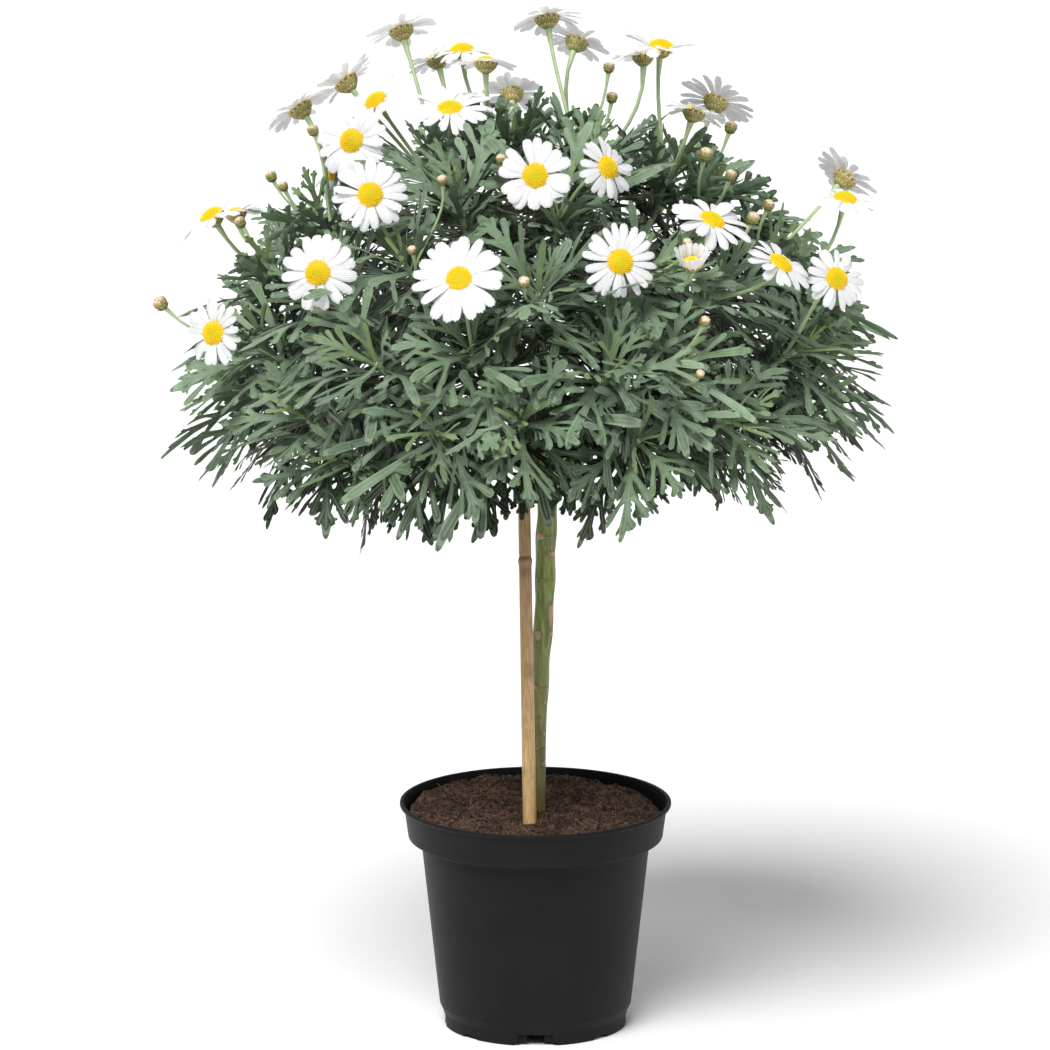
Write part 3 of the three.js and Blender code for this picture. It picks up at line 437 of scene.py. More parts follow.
def shoot_tips(sectors):
    tips = [photographed_point(pixel, TIP_DOME, 0) for pixel in FRONT_TIPS]
    tips += [on_dome(turn, from_top, TIP_DOME) for turn, from_top in BACK_TIPS]
    aim = CROWN_MIDDLE + DOWN * AIM_BELOW
    shoots = []
    for index, tip in enumerate(tips):
        inside = direction_in_crown(tip)
        if inside.length > CROWN["fullest"]:
            inside = inside.normalized() * CROWN["fullest"]
            tip = CROWN_MIDDLE + Vector((
                inside.x * TIP_DOME["radius"], inside.y * TIP_DOME["radius"], inside.z * TIP_DOME["rise"]))
        way = direction_in_crown(tip).normalized()
        sector = max(range(len(sectors)), key=lambda i: sectors[i][0].dot(way))
        shoots.append({"index": index, "tip": tip, "axis": (tip - aim).normalized(), "sector": sector})
    return shoots


def nearest_shoot(flower, shoots):
    behind = flower["centre"] - flower["faces"] * BLOOM["shoot_behind"]
    return min(shoots, key=lambda shoot: (shoot["tip"] - behind).length)


def bloom_places(shoots):
    blooms = []
    for number, (x, y, away, turn, lift, width) in enumerate(BLOOMS):
        blooms.append({
            "centre": photographed_point((x, y), BLOOM_DOME, away), "faces": facing(turn, lift),
            "width": width, "half_open": number in HALF_OPEN_BLOOMS,
        })
    for turn, from_top in BACK_BLOOMS:
        blooms.append({
            "centre": on_dome(turn, from_top, BLOOM_DOME), "width": BACK_BLOOM["width"], "half_open": False,
            "faces": facing(turn, BACK_BLOOM["lift"] + (90 - from_top) / 2),
        })
    for bloom in blooms:
        bloom["shoot"] = nearest_shoot(bloom, shoots)
        bloom["size"] = HALF_OPEN["size"] if bloom["half_open"] else min(1, bloom["width"] / BLOOM["full"])
    return blooms


def bud_places(shoots):
    buds = []
    low, high = [Vector(corner) / MM for corner in CAD_BOX]
    for x, y, away, width in BUDS:
        centre = photographed_point((x, y), BLOOM_DOME, away)
        radius = width / 2
        centre = Vector(min(max(centre[i], low[i] + 1.1 * radius), high[i] - 1.1 * radius) for i in range(3))
        bud = {"centre": centre, "faces": (direction_in_crown(centre) + UP).normalized(), "width": width}
        bud["shoot"] = nearest_shoot(bud, shoots)
        buds.append(bud)
    return buds


def outward_from(axis, turn):
    """The way straight out of a shoot, at a turn round it"""
    side = axis.cross(UP).normalized()
    return side * math.cos(turn) + side.cross(axis) * math.sin(turn)


def opened(axis, outward, pitch):
    """The way of a leaf that has opened away from its shoot by a pitch"""
    return (axis * math.cos(pitch) + outward * math.sin(pitch)).normalized()


def leaf_of(shoot, number):
    """Where a leaf starts, which way it goes and faces, its length and how far it droops"""
    draw = draws_from(1000 + shoot["index"] * 40 + number)
    axis = shoot["axis"]
    age = number / (LEAF["per_shoot"] - 1)
    turn = GOLDEN_ANGLE * number + shoot["index"] + LEAF["turn_spread"] * (draw() - 0.5)
    upright = max(0, axis.z)
    widest = mix(LEAF["pitch_old"], LEAF["pitch_upright"], upright)
    pitch = mix(LEAF["pitch_young"], widest, age ** 0.8) + LEAF["pitch_spread"] * (draw() - 0.5)
    pitch = math.radians(pitch)
    longest = LEAF["longest"] + LEAF["spread"] * (draw() - 0.5) * 2
    length = mix(LEAF["youngest"], longest, min(1, age / LEAF["grown"]))
    length *= LEAF["old_size"] if age > LEAF["old"] else 1
    softness = LEAF["droop_least"] + LEAF["droop_spread"] * draw()
    droop = mix(LEAF["droop_young"], LEAF["droop_old"], age) * softness
    outward = outward_from(axis, turn)
    along = opened(axis, outward, pitch)
    face = axis * LEAF["faces_axis"] + UP * LEAF["faces_up"] - outward * (LEAF["faces_out"] * math.cos(pitch))
    droop *= 1 - LEAF["hanging_stiffness"] * max(0, -along.z)
    droop *= 1 - LEAF["upright_stiffness"] * upright
    sway = along.cross(face).normalized() * 0.3 * (draw() - 0.5)
    leaf = {
        "root": shoot["tip"] - axis * LEAF["stem"] * age, "along": along, "face": face.normalized(),
        "length": length, "bend": DOWN * 0.5 * droop + sway, "age": age, "tint": draw(), "draw": draw(),
        "softness": softness,
    }
    if number not in LEAF["built"]:
        leaf["face"] = Matrix.Rotation(LEAF["roll"] * (draw() - 0.5), 3, along) @ leaf["face"]
        leaf["bend"] += DOWN * LEAF["extra_droop"] * age * (1 - upright) * max(0, 1 + along.z)
    return leaf


def side_leaf(shoot, number, rule):
    """A leaf lower down a shoot or of a side bud. The limp ones droop each by a draw of its own"""
    draw = draws_from(rule["seed"] + shoot["index"] * 40 + number)
    axis = shoot["axis"]
    depth = rule["from"] + rule["stem"] * number / (rule["count"] - 1)
    turn = GOLDEN_ANGLE * number + rule["turns"] * shoot["index"]
    pitch = math.radians(rule["pitch"] + rule["pitch_spread"] * (draw() - 0.5))
    outward = outward_from(axis, turn)
    return {
        "root": shoot["tip"] - axis * depth + outward * rule["aside"],
        "along": opened(axis, outward, pitch),
        "face": (axis + UP * 0.5 - outward * rule["faces_in"]).normalized(),
        "length": rule["length"] * (rule["least"] + rule["spread"] * draw()),
        "bend": DOWN * rule["droop"] * (draw() if rule["limp"] else 1),
        "age": rule["age"], "tint": draw(), "draw": draw(), "softness": rule["softness"],
    }


def in_box(point):
    low, high = CAD_BOX
    gap = LEAF["inside"] * MM
    return all(low[i] + gap < point[i] * MM < high[i] - gap for i in range(3))


def in_crown(point, softness):
    """Above the hem of the crown and inside the dome over it. A soft leaf hangs lower and reaches further"""
    dip = LEAF["dip"] * math.exp(-((point.x - LEAF["dip_x"]) / LEAF["dip_width"]) ** 2) if point.y < 0 else 0
    hem = LEAF["hem"] + LEAF["hem_rise"] * math.hypot(point.x - CROWN["x"], point.y) - dip
    way = direction_in_crown(point)
    dome = mix(LEAF["dome_side"], LEAF["dome_top"], max(0, way.z) / way.length)
    low = point.z < hem + LEAF["hem_spread"] * (1 - softness)
    return not low and way.length < dome + LEAF["dome_spread"] * (softness - 1)


def fitted(leaf):
    """The leaf, made shorter until its tip stays in the crown, and its fingers in the solids' box"""
    across = leaf["along"].cross(leaf["face"]).normalized()
    while leaf["length"] > LEAF["shortest"]:
        reach = leaf["root"] + (leaf["along"] + leaf["bend"]) * leaf["length"]
        wide = leaf["root"] + (leaf["along"] * 0.8 + leaf["bend"] * 0.64) * leaf["length"]
        lobes = [wide + across * leaf["length"] * side for side in (-0.3, 0.3)]
        if in_crown(reach, leaf["softness"]) and all(in_box(point) for point in [reach, *lobes]):
            break
        leaf["length"] *= 0.92
    return leaf


def arm_knobs():
    knobs = [Vector(ARM["leader"])]
    for i in range(ARM["count"]):
        place = facing(ARM["turn"] + 360 * i / ARM["count"], 0) * ARM["reach"]
        knobs.append(place + Vector((ARM["x"], 0, ARM["height"] + ARM["stagger"] * (i % 2))))
    return knobs


def stalk_path(shoot, end, faces, steps=9):
    """A stalk that leaves its shoot along the shoot's axis and meets the flower from behind"""
    start = shoot["tip"] - shoot["axis"] * TWIG["heart"]
    reach = (end - start).length
    first = start.lerp(end, 0.2) + shoot["axis"] * reach * 0.15
    second = end - faces * reach * 0.4
    path = []
    for i in range(steps):
        t = i / (steps - 1)
        path.append(start * (1 - t) ** 3 + first * 3 * t * (1 - t) ** 2
                    + second * 3 * t * t * (1 - t) + end * t ** 3)
    return path


def curved(points, steps):
    """A smooth path through points"""
    path = []
    last = len(points) - 1
    for i in range(last):
        before, here = points[max(0, i - 1)], points[i]
        there, after = points[i + 1], points[min(last, i + 2)]
        for k in range(steps):
            t = k / steps
            path.append(0.5 * (2 * here + (there - before) * t
                               + (2 * before - 5 * here + 4 * there - after) * t * t
                               + (3 * here - before - 3 * there + after) * t ** 3))
    path.append(points[last])
    return path


# Geometry trees

NUMBER = "NodeSocketFloat"
COUNT = "NodeSocketInt"
SHAPE = "NodeSocketObject"
FINISH = "NodeSocketMaterial"


def shape_tree(name, sockets):
    """An empty geometry tree with named inputs, and what it is given in them"""
    tree = bpy.data.node_groups.new(name, "GeometryNodeTree")
    tree.interface.new_socket("Geometry", in_out="INPUT", socket_type="NodeSocketGeometry")
    for label, kind in sockets.items():
        tree.interface.new_socket(label, in_out="INPUT", socket_type=kind)
    tree.interface.new_socket("Geometry", in_out="OUTPUT", socket_type="NodeSocketGeometry")
    return tree, add(tree, "NodeGroupInput").outputs


def finished(tree, geometry, finish):
    """Ends a tree: real faces, one finish"""
    real = add(tree, "GeometryNodeRealizeInstances", {"Geometry": geometry})
    return add(tree, "GeometryNodeSetMaterial", {"Geometry": real, "Material": finish})


def grown(name, base, tree, values):
    """The plain mesh that a tree makes from a base mesh, as an object"""
    made = bpy.data.objects.new(name, base)
    modifier = made.modifiers.new("shape", "NODES")
    modifier.node_group = tree
    for item in tree.interface.items_tree:
        if item.in_out == "INPUT" and item.name in values:
            modifier[item.identifier] = values[item.name]
    bpy.context.scene.collection.objects.link(made)
    plain_mesh(made).name = name
    return made


# What places a leaf, kept on the point that it grows from
LEAF_VALUES = {"along": VECTORS, "face": VECTORS, "bend": VECTORS, "length": NUMBERS, "kind": "INT"}


def leaf_tree(kinds):
    """Blades set on points by their own root, way, face and length, then bent along their length"""
    sockets = {f"Blade {k}": SHAPE for k in range(kinds)}
    tree, given = shape_tree("Leaves along shoots", {**sockets, "Leaf finish": FINISH})
    value = {
        name: add(tree, "GeometryNodeInputNamedAttribute", [name], data_type=kind).outputs["Attribute"]
        for name, kind in {**LEAF_VALUES, "blade": VECTORS}.items()
    }
    turn = add(tree, "FunctionNodeAxesToRotation",
               {"Primary Axis": value["along"], "Secondary Axis": value["face"]},
               primary_axis="X", secondary_axis="Z")
    whole = add(tree, "GeometryNodeJoinGeometry")
    for k in range(kinds):
        chosen = add(tree, "FunctionNodeCompare", {
            FIRST: value["kind"], SECOND: k}, data_type="INT", operation="EQUAL")
        blade = add(tree, "GeometryNodeObjectInfo", {"Object": given[f"Blade {k}"]})
        placed = add(tree, "GeometryNodeInstanceOnPoints", {
            "Points": given["Geometry"], "Selection": chosen, "Instance": blade.outputs["Geometry"],
            "Rotation": turn, "Scale": value["length"],
        })
        put(tree, placed, whole.inputs[0])
    real = add(tree, "GeometryNodeRealizeInstances", {"Geometry": whole})
    place = add(tree, "ShaderNodeSeparateXYZ", [value["blade"]])
    square = add(tree, MATH, [place, place], **TIMES)
    reach = add(tree, MATH, [square, value["length"]], **TIMES)
    offset = add(tree, "ShaderNodeVectorMath", {0: value["bend"], "Scale": reach}, operation="SCALE")
    bent = add(tree, "GeometryNodeSetPosition", {"Geometry": real, "Offset": offset})
    skin = add(tree, "GeometryNodeSetMaterial", {"Geometry": bent, "Material": given["Leaf finish"]})
    add(tree, "NodeGroupOutput", [skin])
    return tree


def tube_tree():
    """Round stems along the edges of a mesh, as thick as each point says"""
    tree, given = shape_tree("Stems along paths", {"Sides": COUNT, "Stem finish": FINISH})
    thick = add(tree, "GeometryNodeInputNamedAttribute", {"Name": "thick"}, data_type=NUMBERS)
    path = add(tree, "GeometryNodeMeshToCurve", {"Mesh": given["Geometry"]})
    ring = add(tree, "GeometryNodeCurvePrimitiveCircle", {"Resolution": given["Sides"], "Radius": 1.0})
    tube = add(tree, "GeometryNodeCurveToMesh", {
        "Curve": path, "Profile Curve": ring, "Scale": thick.outputs["Attribute"],
        "Fill Caps": True,
    })
    add(tree, "NodeGroupOutput", [finished(tree, tube, given["Stem finish"])])
    return tree


def scatter_tree():
    """One shape on each point, turned and sized by the point's own values"""
    tree, given = shape_tree("Shapes on points", {"Shape": SHAPE, "Shape finish": FINISH})
    value = {
        name: add(tree, "GeometryNodeInputNamedAttribute", [name], data_type=kind).outputs["Attribute"]
        for name, kind in {"turn": VECTORS, "size": NUMBERS}.items()
    }
    shape = add(tree, "GeometryNodeObjectInfo", {"Object": given["Shape"]})
    turn = add(tree, "FunctionNodeAlignRotationToVector", {"Vector": value["turn"]}, axis="Z")
    placed = add(tree, "GeometryNodeInstanceOnPoints", {
        "Points": given["Geometry"], "Instance": shape.outputs["Geometry"], "Rotation": turn,
        "Scale": value["size"],
    })
    add(tree, "NodeGroupOutput", [finished(tree, placed, given["Shape finish"])])
    return tree


def litter_tree():
    """Crumbs and fibres strewn over a surface"""
    tree, given = shape_tree("Litter over a surface", {
        "Shape": SHAPE, "Shape finish": FINISH, "Pieces a square metre": NUMBER, "Smallest": NUMBER,
        "Largest": NUMBER, "Tumble": NUMBER, "Seed": COUNT,
    })
    strewn = add(tree, "GeometryNodeDistributePointsOnFaces", {
        "Mesh": given["Geometry"], "Density": given["Pieces a square metre"], "Seed": given["Seed"],
    })
    tumble = add(tree, "ShaderNodeCombineXYZ", [given["Tumble"], given["Tumble"], math.pi])
    back = add(tree, "ShaderNodeVectorMath", {0: tumble, "Scale": -1.0}, operation="SCALE")
    roll = add(tree, "FunctionNodeRandomValue", {
        0: back, 1: tumble, "Seed": given["Seed"]}, data_type=VECTORS)
    turn = add(tree, "FunctionNodeEulerToRotation", [roll])
    size = add(tree, "FunctionNodeRandomValue", {
        FIRST: given["Smallest"], SECOND: given["Largest"], "Seed": given["Seed"]}, data_type=NUMBERS)
    shape = add(tree, "GeometryNodeObjectInfo", {"Object": given["Shape"]})
    placed = add(tree, "GeometryNodeInstanceOnPoints", {
        "Points": strewn.outputs["Points"], "Instance": shape.outputs["Geometry"],
        "Rotation": turn, "Scale": size,
    })
    add(tree, "NodeGroupOutput", [finished(tree, placed, given["Shape finish"])])
    return tree


def bloom_tree():
    """Ray petals round a disc of florets over rows of bracts. The face looks along +Z"""
    tree, given = shape_tree("A daisy bloom", {
        "Petal": SHAPE, "Floret": SHAPE, "Bract": SHAPE, "Petals": COUNT, "Florets": COUNT, "Seed": COUNT,
        "Root": NUMBER, "Reach": NUMBER, "Petal width": NUMBER, "Lift": NUMBER, "Uneven": NUMBER,
        "Disc": NUMBER, "Dome": NUMBER, "Cup depth": NUMBER, "Petal finish": FINISH, "Floret finish": FINISH,
        "Bract finish": FINISH,
    })
    index = add(tree, "GeometryNodeInputIndex")

    def drawn(low, high, salt):
        seed = add(tree, MATH, [given["Seed"], salt], **PLUS)
        return add(tree, "FunctionNodeRandomValue", {
            FIRST: low, SECOND: high, "Seed": seed}, data_type=NUMBERS)

    def round_place(radius, angle, height):
        ways = [add(tree, MATH, [angle], operation=way) for way in ("COSINE", "SINE")]
        across = [add(tree, MATH, [radius, way], **TIMES) for way in ways]
        return add(tree, "ShaderNodeCombineXYZ", [*across, height])

    def set_out(shape, points, turn, size):
        """The shape from the inputs that has this name, set on points"""
        source = add(tree, "GeometryNodeObjectInfo", {"Object": given[shape]}).outputs["Geometry"]
        return add(tree, "GeometryNodeInstanceOnPoints", {
            "Points": points, "Instance": source, "Rotation": turn, "Scale": size})

    # Petals, each a little out of step with the rest and lying over or under its neighbour
    step = add(tree, MATH, [2 * math.pi, given["Petals"]], operation="DIVIDE")
    off = PETAL["out_of_step"]
    number = add(tree, MATH, [index, drawn(-off, off, 1)], **PLUS)
    angle = add(tree, MATH, [step, number], **TIMES)
    side = add(tree, MATH, [index, 2.0], operation="MODULO")
    layer = add(tree, MATH, [side, PETAL["layer"] * MM], **TIMES)
    root = round_place(add(tree, MATH, [given["Disc"], given["Root"]], **TIMES), angle, layer)
    spots = add(tree, "GeometryNodePoints", {"Count": given["Petals"], "Position": root})
    uneven = add(tree, MATH, [given["Uneven"], drawn(-1.0, 1.0, 2)], **TIMES)
    lift = add(tree, MATH, [given["Lift"], uneven], **PLUS)
    raised = add(tree, MATH, [lift, -1.0], **TIMES)
    angles = add(tree, "ShaderNodeCombineXYZ", [drawn(-PETAL["roll"], PETAL["roll"], 3), raised, angle])
    turn = add(tree, "FunctionNodeEulerToRotation", [angles])
    length = add(tree, MATH, [given["Reach"], drawn(*PETAL["length"], 4)], **TIMES)
    width = add(tree, MATH, [given["Petal width"], drawn(*PETAL["width"], 5)], **TIMES)
    size = add(tree, "ShaderNodeCombineXYZ", [length, width, given["Reach"]])
    rays = set_out("Petal", spots, turn, size)

    # Florets in the spiral that a growing disc packs them in
    part = add(tree, MATH, [add(tree, MATH, [index, 0.5], **PLUS), given["Florets"]], operation="DIVIDE")
    share = add(tree, MATH, [part], operation="SQRT")
    radius = add(tree, MATH, [given["Disc"], add(tree, MATH, [share, FLORET["edge"]], **TIMES)], **TIMES)
    steepness = add(tree, MATH, [share, FLORET["fall"]], operation="POWER")
    fall = add(tree, MATH, [steepness, given["Dome"]], **TIMES)
    height = add(tree, MATH, [given["Dome"], fall], operation="SUBTRACT")
    height = add(tree, MATH, [height, FLORET["above"] * MM], **PLUS)
    place = round_place(radius, add(tree, MATH, [index, GOLDEN_ANGLE], **TIMES), height)
    seeds = add(tree, "GeometryNodePoints", {"Count": given["Florets"], "Position": place})
    kept = add(tree, "GeometryNodeStoreNamedAttribute", {
        "Geometry": seeds, "Name": "ring", "Value": share}, data_type=NUMBERS, domain="POINT")
    above = add(tree, "ShaderNodeCombineXYZ", {2: given["Disc"]})
    outward = add(tree, "ShaderNodeVectorMath", [place, above], **PLUS)
    upright = add(tree, "FunctionNodeAlignRotationToVector", {"Vector": outward}, axis="Z")
    least = add(tree, MATH, [drawn(0.0, FLORET["spread"], 6), FLORET["least"]], **PLUS)
    disc = set_out("Floret", kept, upright, add(tree, MATH, [share, FLORET["outer"], least], **TIMES_PLUS))

    # Bracts in four rows that overlap like tiles up the outside of the cup
    row = add(tree, MATH, [add(tree, MATH, [index, BRACTS["in_row"]], operation="DIVIDE")], operation="FLOOR")
    half_step = add(tree, MATH, [row, 0.5], **TIMES)
    along_row = add(tree, MATH, [index, half_step], **PLUS)
    round_cup = add(tree, MATH, [along_row, 2 * math.pi / BRACTS["in_row"]], **TIMES)
    out = add(tree, MATH, [row, BRACTS["wider"], BRACTS["radius"]], **TIMES_PLUS)
    up = add(tree, MATH, [row, BRACTS["higher"], BRACTS["low"]], **TIMES_PLUS)
    large = add(tree, MATH, [row, BRACTS["bigger"], BRACTS["size"]], **TIMES_PLUS)
    wide = add(tree, MATH, [given["Disc"], out], **TIMES)
    low = add(tree, MATH, [given["Cup depth"], up], **TIMES)
    spots = add(tree, "GeometryNodePoints", {
        "Count": BRACTS["rows"] * BRACTS["in_row"], "Position": round_place(wide, round_cup, low)})
    first_lean = add(tree, MATH, [drawn(-BRACTS["uneven"], BRACTS["uneven"], 7), BRACTS["lean"]], **PLUS)
    lean = add(tree, MATH, [row, BRACTS["steeper"], first_lean], **TIMES_PLUS)
    size = add(tree, MATH, [given["Disc"], large], **TIMES)
    angles = add(tree, "ShaderNodeCombineXYZ", [0.0, lean, round_cup])
    cup = set_out("Bract", spots, add(tree, "FunctionNodeEulerToRotation", [angles]), size)

    whole = add(tree, "GeometryNodeJoinGeometry")
    for shape, finish in ((cup, "Bract finish"), (disc, "Floret finish"), (rays, "Petal finish")):
        put(tree, finished(tree, shape, given[finish]), whole.inputs[0])
    put(tree, given["Geometry"], whole.inputs[0])
    add(tree, "NodeGroupOutput", [whole])
    return tree


# Finishes

def blank(name, **values):
    """A material with one shader, and the numbers and colours that are the same all over it"""
    made = bpy.data.materials.new(name)
    made.use_nodes = True
    tree = made.node_tree
    tree.nodes.clear()
    shader = add(tree, "ShaderNodeBsdfPrincipled", {key.replace("_", " "): v for key, v in values.items()})
    add(tree, "ShaderNodeOutputMaterial", {"Surface": shader})
    return made, tree, add(tree, "ShaderNodeTexCoord").outputs["Object"]


def layered(tree, below, colour, value, span=None, shares=(0.0, 1.0)):
    """A colour laid over another by a value, or by shares that go with the value's way through a span"""
    if span:
        value = add(tree, "ShaderNodeMapRange", {
            "Value": value, "From Min": span[0], "From Max": span[1],
            "To Min": shares[0], "To Max": shares[1],
        })
    return add(tree, "ShaderNodeMix", {0: value, UNDER: below, OVER: colour}, data_type="RGBA")


def coated(made, colour, relief=None, strength=0.0, depth=0.0):
    """The material with its colour, and with a relief some millimetres deep"""
    tree = made.node_tree
    shader = tree.nodes["Principled BSDF"]
    put(tree, colour, shader.inputs["Base Color"])
    if relief:
        bump = add(tree, "ShaderNodeBump", {"Height": relief, "Strength": strength, "Distance": depth * MM})
        put(tree, bump, shader.inputs["Normal"])
    return made


def leaf_skin():
    """Matt waxy leaf: a grey bloom over green, a pale channel along each rib, younger leaves yellower; painted
    shade darkens old leaves, the low hem and the crown's inside
    """
    made, tree, place = blank("Waxy leaf skin", Roughness=0.56, Specular_IOR_Level=0.4, Sheen_Weight=0.12)
    blade = add(tree, "ShaderNodeAttribute", attribute_name="blade").outputs["Vector"]
    rib = add(tree, "ShaderNodeSeparateXYZ", [blade]).outputs["Z"]
    tint = add(tree, "ShaderNodeAttribute", attribute_name="tint").outputs["Fac"]
    age = add(tree, "ShaderNodeAttribute", attribute_name="age").outputs["Fac"]
    mottle = add(tree, "ShaderNodeTexNoise", {"Vector": place, "Scale": cells(7), "Detail": 4.0})
    green = layered(tree, "#50674b", "#718866", tint)
    waxy = layered(tree, green, "#8ca390", mottle, (0.35, 0.7), (0.0, 0.5))
    young = layered(tree, waxy, "#8fa556", age, (0.0, 0.36), (0.8, 0.0))
    # Darker with age: partly the old leaves' own colour, partly painted shade on the inner leaves, whose age
    # is past 1
    shade = add(tree, "ShaderNodeMapRange", {"Value": age, "From Min": 0.5, "From Max": 1.25, "To Max": 0.85})
    height = add(tree, "ShaderNodeSeparateXYZ", [place]).outputs["Z"]
    # Painted shade on the low leaves of the hem, under the crown
    hem = add(tree, "ShaderNodeMapRange", {
        "Value": height, "From Min": 0.36, "From Max": 0.47, "To Min": 0.8, "To Max": 0.0})
    size = Vector((TIP_DOME["radius"], TIP_DOME["radius"], TIP_DOME["rise"])) * MM
    middle = CROWN_MIDDLE * MM
    in_dome = add(tree, "ShaderNodeMapping", {
        "Vector": place, "Location": [-middle[i] / size[i] for i in range(3)],
        "Scale": [1 / length for length in size],
    })
    out = add(tree, "ShaderNodeVectorMath", [in_dome], operation="LENGTH").outputs["Value"]
    # Painted shade deep inside the crown, where leaves lie in the shadow of the rest
    inside_shade = add(tree, "ShaderNodeMapRange", {
        "Value": out, "From Min": 0.66, "From Max": 1.07, "To Min": 0.95, "To Max": 0.0})
    low = add(tree, MATH, [shade, hem])
    dark = add(tree, MATH, [low, inside_shade], use_clamp=True)
    # The dark green laid over is painted shade as well as the darker colour of old leaves
    old = layered(tree, young, "#202c17", dark)
    ribbed = layered(tree, old, "#97ac87", rib, (0.0, 0.010), (0.3, 0.0))
    edged = layered(tree, ribbed, "#9fb597", rib, (0.024, 0.036), (0.0, 0.28))
    grain = add(tree, "ShaderNodeTexNoise", {"Vector": place, "Scale": cells(1.1), "Detail": 3.0})
    return coated(made, edged, grain, 0.35, 0.4)


def stalk_skin():
    """Smooth young stalks: pale yellow-green, with a faint relief, and dark olive where they are woody"""
    made, tree, place = blank("Smooth green stalk", Roughness=0.5)
    noise = add(tree, "ShaderNodeTexNoise", {"Vector": place, "Scale": cells(11), "Detail": 3.0})
    woody = add(tree, "ShaderNodeAttribute", attribute_name="wood")
    young = layered(tree, "#93ab78", "#bfd2a4", noise)
    colour = layered(tree, young, "#46502f", woody.outputs["Fac"])
    return coated(made, colour, noise, 0.3, 0.3)


def petal_skin():
    """White ray petals: satin, with faint veins along them, a little light coming through, and a faint bluish
    painted glow that lightens their shaded undersides
    """
    # The emission is a painted glow, to lighten the petals where they are in shade
    made, tree, _ = blank(
        "Satin white petal", Roughness=0.46, Subsurface_Weight=0.6, Subsurface_Scale=1.0,
        Subsurface_Radius=[4 * MM] * 3, Emission_Color="#f2f2ff", Emission_Strength=0.09)
    along = add(tree, "ShaderNodeAttribute", attribute_name="strap").outputs["Vector"]
    parts = add(tree, "ShaderNodeSeparateXYZ", [along])
    white = layered(tree, "#f8f8f9", "#eef0dc", parts.outputs["X"], (0.0, 0.3), (0.35, 0.0))
    veins = add(tree, "ShaderNodeTexWave", {
        "Vector": along, "Scale": waves(7), "Distortion": 0.6, "Detail": 1.0}, bands_direction="Y")
    lined = layered(tree, white, "#bfc0c6", veins.outputs["Fac"], (0.0, 0.3), (0.22, 0.0))
    return coated(made, lined, veins.outputs["Fac"], 0.35, 0.4)


def floret_skin():
    """Disc florets: deep yellow at the rim where they are open, greener in the closed middle"""
    made, tree, place = blank("Yellow disc florets", Roughness=0.6)
    ring = add(tree, "ShaderNodeAttribute", attribute_name="ring").outputs["Fac"]
    yellow = layered(tree, "#e4da1c", "#ffd900", ring, (0.1, 0.55))
    rim = layered(tree, yellow, "#ffc400", ring, (0.75, 1.0), (0.0, 0.6))
    grain = add(tree, "ShaderNodeTexNoise", {"Vector": place, "Scale": cells(0.7)})
    return coated(made, rim, grain, 0.4, 0.3)


def bract_skin():
    """Bracts: olive in the middle, tan and papery towards a brown edge"""
    made, tree, place = blank("Papery olive bract", Roughness=0.62)
    blade = add(tree, "ShaderNodeAttribute", attribute_name="strap").outputs["Vector"]
    parts = add(tree, "ShaderNodeSeparateXYZ", [blade])
    olive = layered(tree, "#b2b35e", "#e2d29c", parts.outputs["X"], (0.3, 0.75))
    brown = layered(tree, olive, "#77532f", parts.outputs["Z"], (0.15, 0.25), (0.0, 0.85))
    noise = add(tree, "ShaderNodeTexNoise", {"Vector": place, "Scale": cells(1.4)})
    return coated(made, brown, noise, 0.3, 0.3)


def bud_skin():
    """Closed buds: green bracts with brown edges, and a cream top where the petals push up"""
    made, tree, place = blank("Bud bracts", Roughness=0.6)
    height = add(tree, "ShaderNodeAttribute", attribute_name="ring").outputs["Fac"]
    blade = add(tree, "ShaderNodeAttribute", attribute_name="strap").outputs["Vector"]
    away = add(tree, "ShaderNodeSeparateXYZ", [blade]).outputs["Z"]
    edge = add(tree, "ShaderNodeMapRange", {"Value": away, "From Min": 0.1, "From Max": 0.2, "To Max": 1.0})
    skin = layered(tree, "#9a9c5c", "#e6cdb0", height, (0.5, 0.85))
    noise = add(tree, "ShaderNodeTexNoise", {"Vector": place, "Scale": cells(1.7)})
    speck = add(tree, "ShaderNodeMapRange", {
        "Value": noise, "From Min": 0.5, "From Max": 0.66, "To Max": 0.6})
    dark = add(tree, MATH, [edge, speck], operation="MAXIMUM")
    edged = layered(tree, skin, "#55371f", dark)
    return coated(made, edged, noise, 0.4, 0.4)


def bark_skin():
    """Young green bark: streaked along the stem, with corky brown scars where leaves and twigs came off"""
    made, tree, place = blank("Young green bark", Roughness=0.42)
    stretch = add(tree, "ShaderNodeMapping", {"Vector": place, "Scale": (1.0, 1.0, 0.12)})
    grooves = add(tree, "ShaderNodeTexNoise", {"Vector": stretch, "Scale": cells(2.4), "Detail": 5.0})
    short = add(tree, "ShaderNodeMapping", {"Vector": place, "Scale": (1.0, 1.0, 0.4)})
    patches = add(tree, "ShaderNodeTexNoise", {
        "Vector": short, "Scale": cells(9), "Detail": 6.0, "Roughness": 0.7})
    scar = add(tree, "ShaderNodeAttribute", attribute_name="scar").outputs["Fac"]
    green = layered(tree, "#5c6b2c", "#8b9648", grooves, (0.36, 0.66))
    height = add(tree, "ShaderNodeSeparateXYZ", [place]).outputs["Z"]
    older = layered(tree, green, "#8f7e52", height, (0.28, 0.16), (0.0, 0.65))
    worn = add(tree, MATH, [patches, scar], **PLUS)
    cork = layered(tree, "#5a4029", "#b3956f", worn, (0.64, 0.76))
    colour = layered(tree, older, cork, worn, (0.6, 0.66), (0.0, 0.92))
    depth = add(tree, MATH, [grooves, worn], **PLUS)
    return coated(made, colour, depth, 0.8, 1.2)


